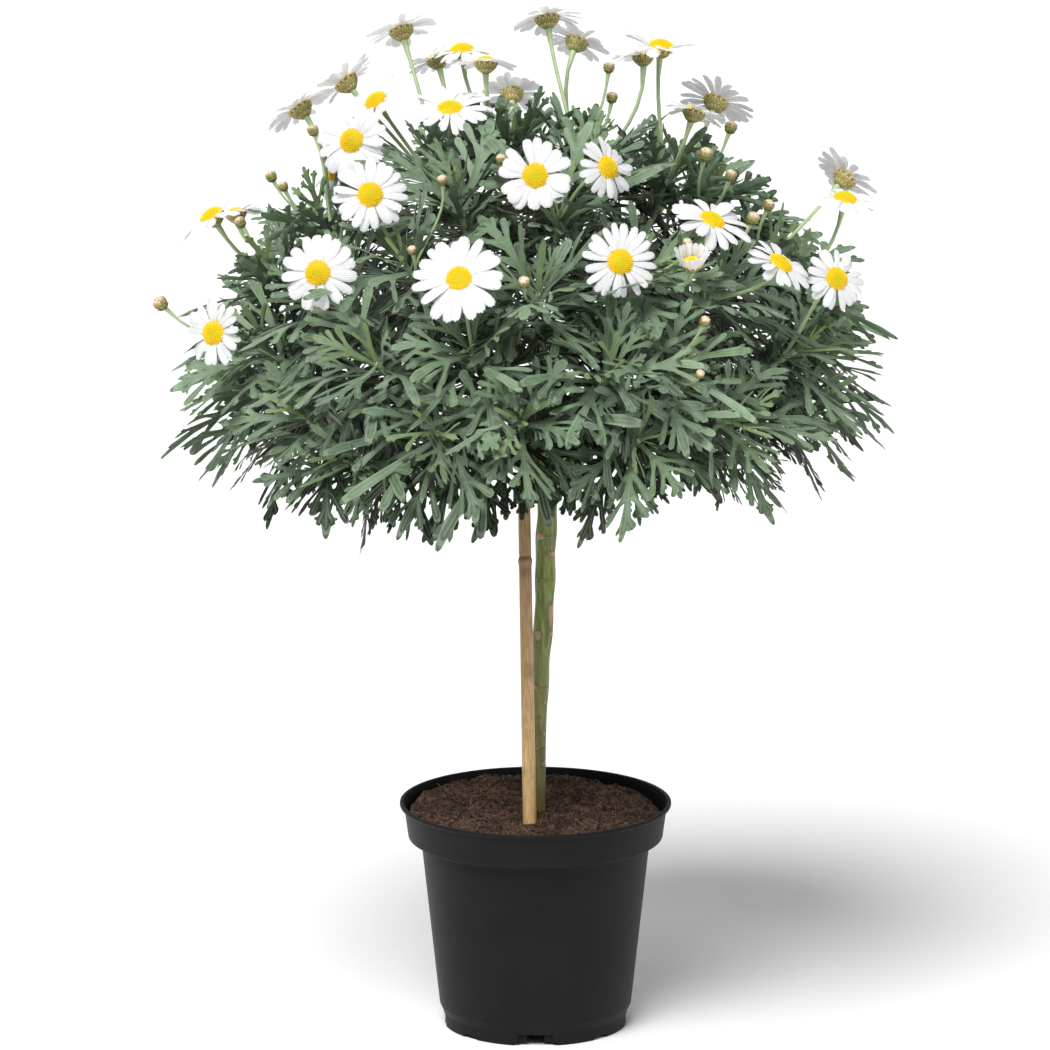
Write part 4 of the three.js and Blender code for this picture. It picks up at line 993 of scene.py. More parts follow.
def bamboo_skin():
    """Bare bamboo: tan with long fibres, darker and redder towards its top"""
    made, tree, place = blank("Bare bamboo", Roughness=0.36)
    stretch = add(tree, "ShaderNodeMapping", {"Vector": place, "Scale": (1.0, 1.0, 0.03)})
    fibres = add(tree, "ShaderNodeTexNoise", {"Vector": stretch, "Scale": cells(1.1), "Detail": 5.0})
    stains = add(tree, "ShaderNodeTexNoise", {
        "Vector": place, "Scale": cells(24), "Detail": 4.0, "Roughness": 0.6})
    height = add(tree, "ShaderNodeSeparateXYZ", [place]).outputs["Z"]
    strand = add(tree, "ShaderNodeMapRange", {
        "Value": fibres, "From Min": 0.2, "From Max": 0.78, "To Max": 1.0})
    wood = layered(tree, "#c09150", "#ffdba2", strand)
    top_tone = layered(tree, "#62432b", "#95704e", strand)
    # Darker and redder towards the top of the cane
    darker_top = layered(tree, wood, top_tone, height, (0.17, 0.35), (0.0, 0.82))
    node = add(tree, "ShaderNodeAttribute", attribute_name="node").outputs["Fac"]
    patch = add(tree, "ShaderNodeMapRange", {
        "Value": stains, "From Min": 0.52, "From Max": 0.72, "To Max": 0.5})
    stain = add(tree, MATH, [patch, node], operation="MAXIMUM")
    colour = layered(tree, darker_top, "#5f4029", stain)
    return coated(made, colour, fibres, 0.4, 0.4)


def pot_skin():
    """Injection-moulded black polypropylene: satin, with a fine grain and faint lighter clouds"""
    made, tree, place = blank("Moulded black plastic", Roughness=0.5, Specular_IOR_Level=0.12)
    cloud = add(tree, "ShaderNodeTexNoise", {
        "Vector": place, "Scale": cells(42), "Detail": 6.0, "Roughness": 0.6})
    colour = layered(tree, "#161617", "#232323", cloud, (0.4, 0.8), (0.0, 0.5))
    grain = add(tree, "ShaderNodeTexNoise", {"Vector": place, "Scale": cells(0.6), "Detail": 2.0})
    return coated(made, colour, grain, 0.12, 0.2)


def peat_skin():
    """Moist peat compost: dark brown, crumbly"""
    made, tree, place = blank("Moist peat compost", Roughness=0.92)
    lumps = add(tree, "ShaderNodeTexNoise", {
        "Vector": place, "Scale": cells(3.8), "Detail": 7.0, "Roughness": 0.7})
    crumbly = layered(tree, "#1b130e", "#896853", lumps, (0.4, 0.64))
    wet = add(tree, "ShaderNodeTexNoise", {"Vector": place, "Scale": cells(22), "Detail": 3.0})
    colour = layered(tree, crumbly, "#241a14", wet, (0.42, 0.6), (0.0, 0.62))
    return coated(made, colour, lumps, 1.0, 2)


def varied_skin(name, roughness, size, dark, pale):
    """Loose matt bits in the compost, each a little lighter or darker than the next: fibres or grit"""
    made, tree, place = blank(name, Roughness=roughness)
    shade = add(tree, "ShaderNodeTexNoise", {"Vector": place, "Scale": cells(size)})
    return coated(made, layered(tree, dark, pale, shade))


def tie_skin():
    """Soft plant tie: matt, dark green woven tape. Its threads are drawn 2 mm apart, so that they show"""
    made, tree, place = blank("Woven green tape", Roughness=0.75)
    threads = add(tree, "ShaderNodeTexWave", {"Vector": place, "Scale": waves(1000 / 2), "Distortion": 1.5},
                  bands_direction="Z")
    colour = layered(tree, "#141d17", "#2d3d2f", threads.outputs["Fac"])
    return coated(made, colour, threads.outputs["Fac"], 0.6, 0.4)


# Blades, petals and the other small shapes that are repeated. A blade is 1 long, from its foot along +X

def sheet_shape(name, outline, ribs, height, thickness, label):
    """A thin closed blade: its two faces share the edge, and stand apart along the ribs"""
    rib_points = [point for rib in ribs for point in rib]
    points = [Vector(p) for p in outline + rib_points]
    edges = [(i, (i + 1) % len(outline)) for i in range(len(outline))]
    first = len(outline)
    for rib in ribs:
        edges += [(first + i, first + i + 1) for i in range(len(rib) - 1)]
        first += len(rib)
    flat, _, faces, sources, _, _ = delaunay_2d_cdt(points, edges, [], 1, 1e-5)
    on_edge = [any(source < len(outline) for source in found) for found in sources]
    places = []
    upper = []
    lower = []
    values = []
    for point, rim in zip(flat, on_edge):
        away = rib_distance(point, ribs)
        z = height(point.x, point.y, away)
        upper.append(len(places))
        places.append((point.x, point.y, z + (0 if rim else thickness / 2)))
        values.append((point.x, point.y, away))
        lower.append(len(places) - 1)
        if not rim:
            lower[-1] = len(places)
            places.append((point.x, point.y, z - thickness / 2))
            values.append((point.x, point.y, away))
    both = [tuple(upper[i] for i in face) for face in faces]
    both += [tuple(lower[i] for i in reversed(face)) for face in faces]
    mesh = bpy.data.meshes.new(name)
    mesh.from_pydata(places, [], both)
    mesh.polygons.foreach_set("use_smooth", [True] * len(mesh.polygons))
    rim = {upper[i] for i, edge in enumerate(on_edge) if edge}
    for edge in mesh.edges:
        edge.use_edge_sharp = edge.vertices[0] in rim and edge.vertices[1] in rim
    give_values(mesh, label, VECTORS, values)
    return object_of(name, mesh)


def mirrored(half):
    """The other half of an outline, from its tip back to its foot"""
    return [(x, -y) for x, y in reversed(half)]


def rib_distance(point, ribs):
    """How far a point lies from the nearest rib"""
    nearest = 9.0
    for rib in ribs:
        for start, end in zip(rib, rib[1:]):
            start, end = Vector(start), Vector(end)
            way = end - start
            share = max(0.0, min(1.0, (point - start).dot(way) / way.dot(way)))
            nearest = min(nearest, (point - start - way * share).length)
    return nearest


def lobe_edge(foot, way, reach, half, teeth, place_on_edge):
    """One finger of a leaf: narrow where it leaves the midrib, wider to its end, with rounded teeth there"""
    out = Vector((-way.y, way.x))

    def place(share, aside):
        point = foot + way * reach * share + out * half * aside
        return (point.x, point.y)

    below = [place(0.34, 0.66), place(0.66, 0.95)]
    if teeth % 2:
        below += [place(0.78, 1.75), place(0.87, 1.5), place(0.84, 0.85)]
    else:
        below += [place(0.86, 1.15)]
    top = [place(0.97, 0.7), place(1.0, -0.1), place(0.95, -0.85)]
    above = [place(0.8, -1.05)]
    if teeth > 1:
        above = [place(0.86, -0.8), place(0.88, -1.5), place(0.8, -1.75), place(0.7, -0.9)]
    above += [place(0.42, -0.62)]
    place_on_edge += below + top + above
    return [place(share, 0) for share in (0.3, 0.6, 0.86)]


def half_blade(draw, pairs):
    """Half of a leaf's edge, from its stalk to its tip, with the ribs of its fingers"""
    edge = [(0.0, 0.02), (0.14, 0.024)]
    ribs = []
    first = FINGER["first"] + FINGER["first_spread"] * draw() + FINGER["later_if_few"] * (3 - pairs) / 2
    for number in range(pairs):
        start = first + number * FINGER["apart"] + FINGER["apart_spread"] * (draw() - 0.5)
        angle = FINGER["angle"] - FINGER["narrower"] * number + FINGER["angle_spread"] * (draw() - 0.5)
        angle = math.radians(angle)
        reach = (FINGER["reach"] - FINGER["shorter"] * number) * (0.85 + 0.3 * draw())
        reach *= min(1, (1.08 - start) / 0.6)
        half = FINGER["half"] + FINGER["half_spread"] * draw()
        way = Vector((math.cos(angle), math.sin(angle)))
        body = FINGER["midrib"] + FINGER["thicker"] * number
        edge.append((start - 0.02, body))
        ribs.append(lobe_edge(Vector((start, 0)), way, reach, half, int(4 * draw()), edge))
        fork = start + (body + 0.7 * half) / way.y
        edge.append((fork, body * 0.8))
    last = edge[-1][0]
    tip = 0.034 + 0.008 * draw()
    edge += [(mix(last, 0.8, 0.5), tip * 0.95)]
    if draw() < 0.6:
        edge += [(0.83, tip * 1.2), (0.885, tip * 1.9), (0.92, tip * 1.7), (0.9, tip * 0.9)]
    else:
        edge += [(0.86, tip * 1.25)]
    edge += [(0.965, tip * 0.75), (0.995, tip * 0.3)]
    return edge, ribs


def leaf_blade(number):
    draw = draws_from(60 + number)
    pairs = FINGER_PAIRS[number]
    right, ribs = half_blade(draw, pairs)
    left, left_ribs = half_blade(draw, max(pairs - int(2 * draw()), 0))
    outline = right + mirrored(left)
    ribs += [[(x, -y) for x, y in rib] for rib in left_ribs]
    ribs.append([(0.08, 0), (0.36, 0), (0.62, 0), (0.9, 0)])

    def height(along, aside, away):
        arch = 0.9 * aside * aside
        return 0.3 * min(away, 0.05) - arch + 0.014 * math.sin(8 * along + 7 * aside + number)

    return sheet_shape(f"blade_{number}", outline[::-1], ribs, height, 0.013, "blade")


def petal_blade():
    """A blunt strap with two shallow grooves and a notched end, 1 long and 1 wide"""
    half = [(0.0, 0.22), (0.2, 0.34), (0.46, 0.47), (0.72, 0.5), (0.88, 0.4), (0.965, 0.25)]
    outline = half + [(0.955, 0.12), (1.0, 0.0), (0.955, -0.12)] + mirrored(half)
    ribs = []
    for side, reach in ((-1, 0.86), (0, 0.9), (1, 0.86)):
        ribs.append([(x, side * 0.17 * (0.6 + x)) for x in (0.1, 0.4, 0.7, reach)])

    def height(along, aside, away):
        groove = 0.03 * abs(math.sin(math.pi * aside / 0.36))
        return groove - 0.10 * aside * aside - 0.13 * along ** 2.2 + 0.1 * along * (1 - along)

    return sheet_shape("petal_blade", outline[::-1], ribs, height, 0.02, "strap")


def bract_blade():
    """A pointed scale with a raised middle, 1 long"""
    half = [(0.0, 0.2), (0.3, 0.3), (0.62, 0.27), (0.86, 0.14)]
    outline = half + [(1.0, 0.0)] + mirrored(half)

    def height(along, aside, away):
        return 0.5 * aside * aside - 0.1 * along * along

    return sheet_shape("bract_blade", outline[::-1], [[(0.2, 0), (0.75, 0)]], height, 0.07, "strap")


def floret_shape():
    """A five-sided floret with a pointed mouth, 1.2 mm across"""
    points, faces = turned_round([(0.42, -0.6), (0.6, 0.2), (0.34, 0.75)], 5, closed=True)
    return object_of("floret_shape", mesh_of("floret_shape", points, faces))


def bud_shape(bract):
    """A closed bud, 2 across: an egg in three rows of bracts, with the height on it kept for its colour"""
    rows = [(0.3, -1.0), (0.62, -0.78), (0.84, -0.35), (0.88, 0.1), (0.78, 0.5), (0.5, 0.74), (0.2, 0.82)]
    points, faces = turned_round(rows, 12, closed=True)
    straps = [(0.5, 0.0, 0.0)] * len(points)
    on_bract = [tuple(value.vector) for value in bract.data.attributes["strap"].data]
    for count, radius, low, lean, length in ((8, 0.36, -0.98, 0.75, 0.8), (9, 0.66, -0.68, 1.25, 0.85),
                                             (9, 0.84, -0.2, 1.6, 0.75)):
        for k in range(count):
            place = Matrix.Rotation(2 * math.pi * (k + 0.5 * (count % 2)) / count, 4, "Z")
            place = place @ Matrix.Translation((radius, 0, low)) @ Matrix.Rotation(-lean, 4, "Y")
            first = len(points)
            points += [tuple(place @ (vertex.co * length)) for vertex in bract.data.vertices]
            faces += [tuple(first + v for v in polygon.vertices) for polygon in bract.data.polygons]
            straps += on_bract
    mesh = mesh_of("bud_shape", [Vector(point) / MM for point in points], faces)
    give_values(mesh, "ring", NUMBERS, [(z + 1) / 2 for _, _, z in points])
    give_values(mesh, "strap", VECTORS, straps)
    return object_of("bud_shape", mesh)


def crumb_shape():
    """An angular crumb, 1 across"""
    draw = draws_from(5)
    points, faces = turned_round([(0.25, -0.4), (0.5, -0.05), (0.3, 0.35)], 5, closed=True)
    rough = [tuple(1000 * v * (0.7 + 0.5 * draw()) for v in point) for point in points]
    return object_of("crumb_shape", mesh_of("crumb_shape", rough, faces, smooth=False))


def fibre_shape():
    """A curled fibre, 1 long and a twentieth thick"""
    points, faces = turned_round([(0.03, t / 5) for t in range(6)], 4, closed=True)
    curled = [(1000 * (x + 0.25 * math.sin(2.4 * z)), 1000 * (y + 0.12 * math.sin(5 * z)), 1000 * z)
              for x, y, z in points]
    return object_of("fibre_shape", mesh_of("fibre_shape", curled, faces))


# Pot, compost, cane, trunk and tie

def dressed(piece, nodes):
    """The piece, standing for its CAD nodes if it has any, in the body that they are all in"""
    if nodes:
        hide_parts(*nodes)
    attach(piece, "root")
    return piece


def bent(start, corner, end, steps):
    """A path that bends from a start to an end, drawn towards a corner"""
    shares = [i / steps for i in range(steps + 1)]
    return [start * (1 - t) ** 2 + corner * 2 * t * (1 - t) + end * t * t for t in shares]


def rounded(profile, radius, steps=4):
    """A profile with its corners rounded"""
    made = [profile[0]]
    for before, corner, after in zip(profile, profile[1:], profile[2:]):
        before, corner, after = Vector(before), Vector(corner), Vector(after)
        back, ahead = before - corner, after - corner
        cut = min(radius, back.length * 0.45, ahead.length * 0.45)
        start, end = corner + back.normalized() * cut, corner + ahead.normalized() * cut
        made += [tuple(point) for point in bent(start, corner, end, steps)]
    made.append(profile[-1])
    return made


def build_pot(finish):
    """The pot: a turned wall with rounded edges, its foot ring notched"""
    lip_bottom = POT["height"] - POT["lip_depth"]
    collar_bottom = POT["height"] - POT["collar_depth"]
    inner_foot = POT["foot"] - POT["foot_width"]
    wall = POT["wall"]
    outside = [
        (30, POT["foot_height"]), (inner_foot, POT["foot_height"]), (inner_foot, 0), (POT["foot"], 0),
        (POT["foot"], POT["foot_height"] - 1), (POT["base"], POT["foot_height"] + 5),
        (POT["shoulder"], collar_bottom - 3.5), (POT["collar_bottom"], collar_bottom),
        (POT["collar_top"], lip_bottom - 1), (POT["lip"], lip_bottom), (POT["lip"], POT["height"]),
        (POT["lip"] - 2.8, POT["height"]), (POT["collar_top"] - wall, lip_bottom - 1),
        (POT["collar_bottom"] - wall, collar_bottom + 2.5), (POT["shoulder"] - wall, collar_bottom - 1),
        (POT["base"] - wall, POT["foot_height"] + 6), (30, POT["foot_height"] + 2),
    ]
    points, faces = turned_round(rounded(outside, 0.9), POT["sides"])
    rows = len(points) // POT["sides"]
    faces.append(tuple(reversed(range(POT["sides"]))))
    faces.append(tuple(range((rows - 1) * POT["sides"], rows * POT["sides"])))
    pot = object_of("pot_moulded", mesh_of("pot_moulded", points, faces))
    cuts = []
    for i in range(POT["notches"]):
        turn = 2 * math.pi * i / POT["notches"]
        cuts.append((POT["notch_width"], POT["notch_height"], turn))
        cuts.append((POT["recess_width"], POT["recess_height"], turn))
        cuts.append((POT["notch_width"], POT["recess_height"], turn + math.pi / POT["notches"]))
    for width, height, turn in cuts:
        cut_box(pot, width, height, turn)
    for i in range(POT["notches"]):
        cut_box(pot, POT["scoop_width"], POT["notch_height"], 2 * math.pi * i / POT["notches"], POT["scoop"])
    mesh = plain_mesh(pot)
    finish_with(mesh, finish)
    mesh.set_sharp_from_angle(angle=math.radians(38))
    return dressed(pot, ["pot"])


def cut_box(pot, width, height, turn, deep=None):
    """A notch cut up into the foot ring, through it or as deep as given"""
    half, depth = width / 2, POT["foot_width"] * 2
    middle = -POT["foot"] + POT["foot_width"] / 2
    if deep:
        middle = deep - POT["foot"] - depth
    corners = [(x, middle + y, z) for z in (-height, height) for y in (-depth, depth) for x in (-half, half)]
    faces = [(0, 2, 3, 1), (4, 5, 7, 6), (0, 1, 5, 4), (2, 6, 7, 3), (0, 4, 6, 2), (1, 3, 7, 5)]
    cutter = object_of("cutter", mesh_of("cutter", corners, faces, smooth=False))
    cutter.data.transform(Matrix.Rotation(turn, 4, "Z"))
    modifier = pot.modifiers.new("notch", "BOOLEAN")
    modifier.operation = "DIFFERENCE"
    modifier.solver = "EXACT"
    modifier.object = cutter
    TEMPORARY.append(cutter)


def soil_height(x, y, rough):
    """How high the compost stands: mounded behind the stem, banked up against the wall there, and lumpy"""
    away = math.hypot(x, y) / SOIL["radius"]
    behind = math.sin(math.atan2(y, x) - math.radians(SOIL["mound_turn"]))
    mound = SOIL["mound"] * max(0, behind) * away * (1 - away) * 4
    bank = SOIL["bank"] * max(0, behind - SOIL["bank_from"]) * away ** SOIL["bank_bend"]
    lumps = sum(high * noise.noise(Vector((x / wide, y / wide, apart))) for high, wide, apart in LUMPS)
    return SOIL["top"] + mound + bank + lumps + rough - SOIL["sunk_edge"] * away ** SOIL["edge_bend"]


def build_soil(peat, fibre, grit, shapes):
    """Peat compost: a lumpy bed with crumbs and fibres strewn on it"""
    draw = draws_from(3)
    points = []
    for ring in range(SOIL["rings"] + 1):
        radius = SOIL["radius"] * ring / SOIL["rings"]
        for k in range(SOIL["sides"] if ring else 1):
            angle = 2 * math.pi * k / SOIL["sides"]
            x, y = radius * math.cos(angle), radius * math.sin(angle)
            points.append((x, y, soil_height(x, y, SOIL["roughness"] * (draw() - 0.5))))
    sides = SOIL["sides"]
    faces = [(0, 1 + k, 1 + (k + 1) % sides) for k in range(sides)]
    for ring in range(SOIL["rings"] - 1):
        below = 1 + ring * sides
        for k in range(sides):
            after = (k + 1) % sides
            faces.append((below + k, below + sides + k, below + sides + after, below + after))
    rim = len(points) - sides
    inset = SOIL["skirt_in"]
    points += [(x * inset, y * inset, SOIL["top"] - SOIL["skirt"]) for x, y, _ in points[rim:]]
    for k in range(sides):
        after = (k + 1) % sides
        faces.append((rim + k, rim + sides + k, rim + sides + after, rim + after))
    faces.append(tuple(reversed(range(rim + sides, rim + 2 * sides))))
    bed = mesh_of("peat_bed", points, faces)
    finish_with(bed, peat)
    # No litter lies on the outermost ring, against the wall
    strewn = faces[:(SOIL["rings"] - 1) * sides]
    top = mesh_of("peat_top", points[:rim + sides], strewn, smooth=False)
    dressed(object_of("compost_bed", bed), ["soil"])
    tree = litter_tree()
    for name, shape, finish, count, small, large, tumble, seed in (
        ("compost_crumbs", shapes["crumb"], peat, 170000, 1.1, 3.6, math.pi, 11),
        ("compost_fibres", shapes["fibre"], fibre, 34000, 2.5, 6.5, math.pi, 12),
        ("compost_grit", shapes["crumb"], grit, 2200, 0.8, 1.5, math.pi, 13),
    ):
        litter = grown(name, top.copy(), tree, {
            "Shape": shape, "Shape finish": finish, "Pieces a square metre": float(count),
            "Smallest": small * MM, "Largest": large * MM, "Tumble": tumble, "Seed": seed,
        })
        dressed(litter, [])


def ring_tube(path, radii, sides, wobble=None):
    """Points and faces of a closed tube along a path, with the round of each ring turned little by little"""
    points = []
    normal = Vector((1, 0, 0))
    for i, centre in enumerate(path):
        tangent = (path[min(i + 1, len(path) - 1)] - path[max(i - 1, 0)]).normalized()
        normal = (normal - tangent * normal.dot(tangent)).normalized()
        across = tangent.cross(normal)
        for k in range(sides):
            angle = 2 * math.pi * k / sides
            radius = radii[i] * (wobble(i, angle) if wobble else 1)
            points.append(centre + (normal * math.cos(angle) + across * math.sin(angle)) * radius)
    faces = round_faces(len(path), sides)
    faces.append(tuple(reversed(range(sides))))
    faces.append(tuple(range(len(points) - sides, len(points))))
    return points, faces


def build_cane(finish):
    """The bamboo cane: one swollen node with a scar line over it, and its sides not quite round"""
    foot, top = Vector(CANE["foot"]), Vector(CANE["top"])
    steps = CANE["steps"]
    sides = CANE["sides"]
    path = []
    radii = []
    stained = []
    for i in range(steps + 1):
        share = mix(CANE["built_from"], CANE["built_to"], i / steps)
        radius = mix(CANE["thick_foot"], CANE["thick_top"], share)
        off = (share - CANE["node"]) * (top.z - foot.z)
        radius += bell(off, *NODE["swelling"]) - bell(off, *NODE["groove"])
        dark = max(bell(off, *NODE["scar_line"]), bell(off, *NODE["stain"]))
        path.append(foot.lerp(top, share))
        radii.append(radius - 0.15)
        stained += [dark] * sides
    points, faces = ring_tube(path, radii, sides, lambda i, angle: 1 + 0.012 * math.sin(5 * angle + 0.02 * i))
    mesh = mesh_of("bamboo_cane", points, faces)
    give_values(mesh, "node", NUMBERS, stained)
    finish_with(mesh, finish)
    return dressed(object_of("bamboo_cane", mesh), ["cane"])


def scarring(point):
    """How corky the bark is: patches where leaves and twigs came off, and a thin ring round each old joint"""
    if point.z > TRUNK[-1][1]:
        return 0.0
    turn = math.atan2(point.x - stem_middle(point.z), -point.y)
    corky = max(bell(point.z, SCARRING["ring"], height, SCARRING["ring_high"]) for height in SCAR_RINGS)
    for height, side, wide, long in SCARS:
        off = (turn - math.radians(side) + math.pi) % (2 * math.pi) - math.pi
        spread = (off * SCARRING["stem"] / wide) ** 2 + ((point.z - height) / long) ** 2
        corky = max(corky, SCARRING["patch"] * math.exp(-spread))
    return corky


def stem_middle(height):
    """How far to the right the middle of the stem is at a height"""
    for (x, low, _), (next_x, high, _) in zip(TRUNK, TRUNK[1:]):
        if low <= height <= high:
            return mix(x, next_x, (height - low) / (high - low))
    return TRUNK[-1][0]


def build_trunk(finish, knobs):
    """The stem with its scars, and the arms that it forks into, grown together in one skin"""
    stations = curved([Vector((x, 0, height)) for x, height, _ in TRUNK], 12)
    radii = [v.x for v in curved([Vector((radius, 0, 0)) for _, _, radius in TRUNK], 12)]

    def bark(i, angle):
        return 1 + 0.035 * math.sin(3 * angle + 0.11 * i) + 0.025 * math.sin(7 * angle - 0.23 * i)

    shapes = [ring_tube(stations, radii, 32, bark)]
    fork = Vector(ARM["fork"])
    for knob in knobs:
        path = bent(fork, fork.lerp(knob, 0.5) + DOWN * ARM["sag"], knob, ARM["steps"])
        thick = [mix(ARM["thick"] + ARM["swell"], ARM["knob"], i / ARM["steps"]) for i in range(len(path))]
        shapes.append(ring_tube(path, thick, ARM["sides"]))
    trunk = object_of("trunk_and_arms", mesh_of("trunk_and_arms", *joined(shapes)))
    skin = trunk.modifiers.new("one skin", "REMESH")
    skin.mode = "VOXEL"
    skin.voxel_size = 1.25 * MM
    skin.use_smooth_shade = True
    mesh = plain_mesh(trunk)
    finish_with(mesh, finish)
    give_values(mesh, "scar", NUMBERS, [scarring(v.co / MM) for v in mesh.vertices])
    return dressed(trunk, ["trunk"])


def cane_at(height):
    foot, top = Vector(CANE["foot"]), Vector(CANE["top"])
    return foot.lerp(top, (height - foot.z) / (top.z - foot.z))


def tie_loop(grow):
    """The line of the tie round the cane and the stem"""
    cane = cane_at(TIE["height"])
    ends = [(Vector((cane.x, cane.y)), TIE["cane"]), (Vector((TIE["stem_x"], 0)), TIE["stem"])]
    lean = math.atan2(ends[1][0].y - ends[0][0].y, ends[1][0].x - ends[0][0].x)
    line = []
    for end, (middle, radius) in enumerate(ends):
        for k in range(25):
            angle = lean + math.pi * (0.5 + end + k / 24)
            away = radius + grow
            line.append((middle.x + away * math.cos(angle), middle.y + away * math.sin(angle)))
    return line


def build_tie(finish):
    """A flat woven tape round the cane and the stem, its ends drawn into a knot in front"""
    rows = [(0.0, 0.1), (0.35, 0.0), (0.65, 0.0), (1.0, 0.1)]
    outer = [(TIE["thickness"] - inset, share) for share, inset in rows]
    section = outer + [(inset, share) for share, inset in reversed(rows)]
    points = []
    faces = []
    count = len(tie_loop(0))
    for grow, share in section:
        ruffle = [0.35 * math.sin(k * 0.9 + share * 3) for k in range(count)]
        for k, (x, y) in enumerate(tie_loop(grow)):
            height = TIE["height"] - TIE["band"] / 2 + TIE["band"] * share
            points.append((x, y, height + ruffle[k] * (share - 0.5)))
    for row in range(len(section)):
        after = (row + 1) % len(section)
        for k in range(count):
            then = (k + 1) % count
            faces.append((row * count + k, row * count + then, after * count + then, after * count + k))
    between = (cane_at(TIE["height"]).x + TIE["stem_x"]) / 2
    middle = Vector((between - 1, -TIE["knot_front"], TIE["height"]))
    knot = []
    for i in range(41):
        t = 2 * math.pi * i / 40 * 0.98
        knot.append(middle + Vector((2.6 * math.sin(t) + 0.9 * math.sin(2 * t), 1.2 * math.sin(3 * t),
                                     2.0 * math.cos(t) - 1.1 * math.cos(2 * t))))
    mesh = mesh_of("plant_tie", *joined([(points, faces), ring_tube(knot, [TIE["cord"]] * len(knot), 10)]))
    finish_with(mesh, finish)
    return dressed(object_of("plant_tie", mesh), ["tie"])


# Leafy branches

def points_mesh(name, places, values):
    """A mesh of loose points in metres, with named values on them"""
    mesh = bpy.data.meshes.new(name)
    mesh.from_pydata([place * MM for place in places], [], [])
    for label, (kind, numbers) in values.items():
        give_values(mesh, label, kind, numbers)
    return mesh


def kind_of(leaf):
    """Which blade a leaf has: the youngest have few fingers, and each kind is drawn at random"""
    if leaf["age"] < 0.2:
        return int(leaf["draw"] * 4) % 2
    return 1 + int(leaf["draw"] * (BLADES - 1))


def build_leaves(number, shoots, tree, blades, finish):
    leaves = []
    for shoot in shoots:
        leaves += [fitted(leaf_of(shoot, order)) for order in range(LEAF["per_shoot"])]
        for rule in (INNER_LEAF, SMALL_LEAF):
            count = rule["count"] if shoot["axis"].z > LEAF["upper_shoot"] else rule["few"]
            leaves += [fitted(side_leaf(shoot, order, rule)) for order in range(count)]
    for leaf in leaves:
        leaf["kind"] = kind_of(leaf)
        leaf["length"] *= MM
    kinds = {**LEAF_VALUES, "tint": NUMBERS, "age": NUMBERS}
    values = {name: (kind, [leaf[name] for leaf in leaves]) for name, kind in kinds.items()}
    base = points_mesh("leaf_roots", [leaf["root"] for leaf in leaves], values)
    given = {f"Blade {k}": blade for k, blade in enumerate(blades)}
    return grown(f"leaves_{number:02d}", base, tree, {**given, "Leaf finish": finish})


def build_stems(number, sector, sectors, knobs, shoots, flowers, tree, finish):
    """The branch from its knob to its shoots, and the stalks of its blooms and buds"""
    junction = mean_of([shoot["tip"] for shoot in shoots])
    junction = junction.lerp(CROWN_MIDDLE + DOWN * CROWN["heart_below"], TWIG["parting"])
    way, knob_number = sector
    between = mean_of([other for other, knob in sectors if knob == knob_number])
    start = knobs[knob_number] + (way - between).normalized() * STEM["aside"]
    sag = start.lerp(junction, 0.5) + DOWN * STEM["sag"]
    paths = [(curved([start, sag, junction], 5), STEM["thick"] * 1.1, STEM["thick"], 1.0)]
    for shoot in shoots:
        low = shoot["tip"] - shoot["axis"] * TWIG["heart_foot"]
        path = curved([junction, junction.lerp(low, 0.6) + DOWN, low, shoot["tip"] - shoot["axis"] * 2], 4)
        paths.append((path, STEM["thick"] * 0.95, TWIG["thick"], 0.8))
    for flower in flowers:
        is_bloom = "size" in flower
        depth = BLOOM["cup_depth"] * flower["size"] if is_bloom else flower["width"] * 0.42
        neck = flower["centre"] - flower["faces"] * depth
        thick = BLOOM["stalk"] if is_bloom else BUD_STALK
        paths.append((stalk_path(flower["shoot"], neck, flower["faces"]), thick * 0.95, thick, 0.0))
    places = []
    edges = []
    thick = []
    wood = []
    for path, low, high, woodiness in paths:
        first = len(places)
        last = len(path) - 1
        places += [point * MM for point in path]
        edges += [(first + i, first + i + 1) for i in range(last)]
        thick += [mix(low, high, i / last) * MM for i in range(last + 1)]
        wood += [woodiness * (1 - i / last if woodiness < 1 else 1) for i in range(last + 1)]
        if not woodiness:
            thick[-1] *= STALK_FLARE
    base = bpy.data.meshes.new("stem_paths")
    base.from_pydata(places, edges, [])
    give_values(base, "thick", NUMBERS, thick)
    give_values(base, "wood", NUMBERS, wood)
    return grown(f"stems_{number:02d}", base, tree, {"Sides": STEM["sides"], "Stem finish": finish})


def build_buds(number, buds, tree, shape, finish):
    base = points_mesh("bud_places", [bud["centre"] for bud in buds], {
        "turn": (VECTORS, [bud["faces"] for bud in buds]),
        "size": (NUMBERS, [bud["width"] / 2 * MM for bud in buds]),
    })
    return grown(f"buds_{number:02d}", base, tree, {"Shape": shape, "Shape finish": finish})


def cup_mesh(bloom, bract, floret):
    """What the florets and bracts stand on: a domed receptacle over a bowl that narrows to the stalk"""
    disc = BLOOM["disc"] * bloom["size"]
    deep = BLOOM["cup_depth"] * bloom["size"]
    dome = BLOOM["dome"] * bloom["size"]
    rows = [(1.7, -deep), (disc * 0.42, -deep * 0.9), (disc * 0.72, -deep * 0.6), (disc * 0.9, -deep * 0.2),
            (disc * 0.94, 0.1)]
    rows += [(disc * share, dome * (1 - share ** FLORET["fall"]) - 0.2) for share in (0.9, 0.7, 0.4, 0.12)]
    points, faces = turned_round(rows, 16, closed=True)
    mesh = mesh_of("receptacle", points, faces)
    give_values(mesh, "strap", VECTORS, [(0.5, 0.3, 0.22)] * len(points))
    finish_with(mesh, bract, floret)
    for polygon in mesh.polygons:
        polygon.material_index = 1 if polygon.center.z > 0 else 0
    return mesh


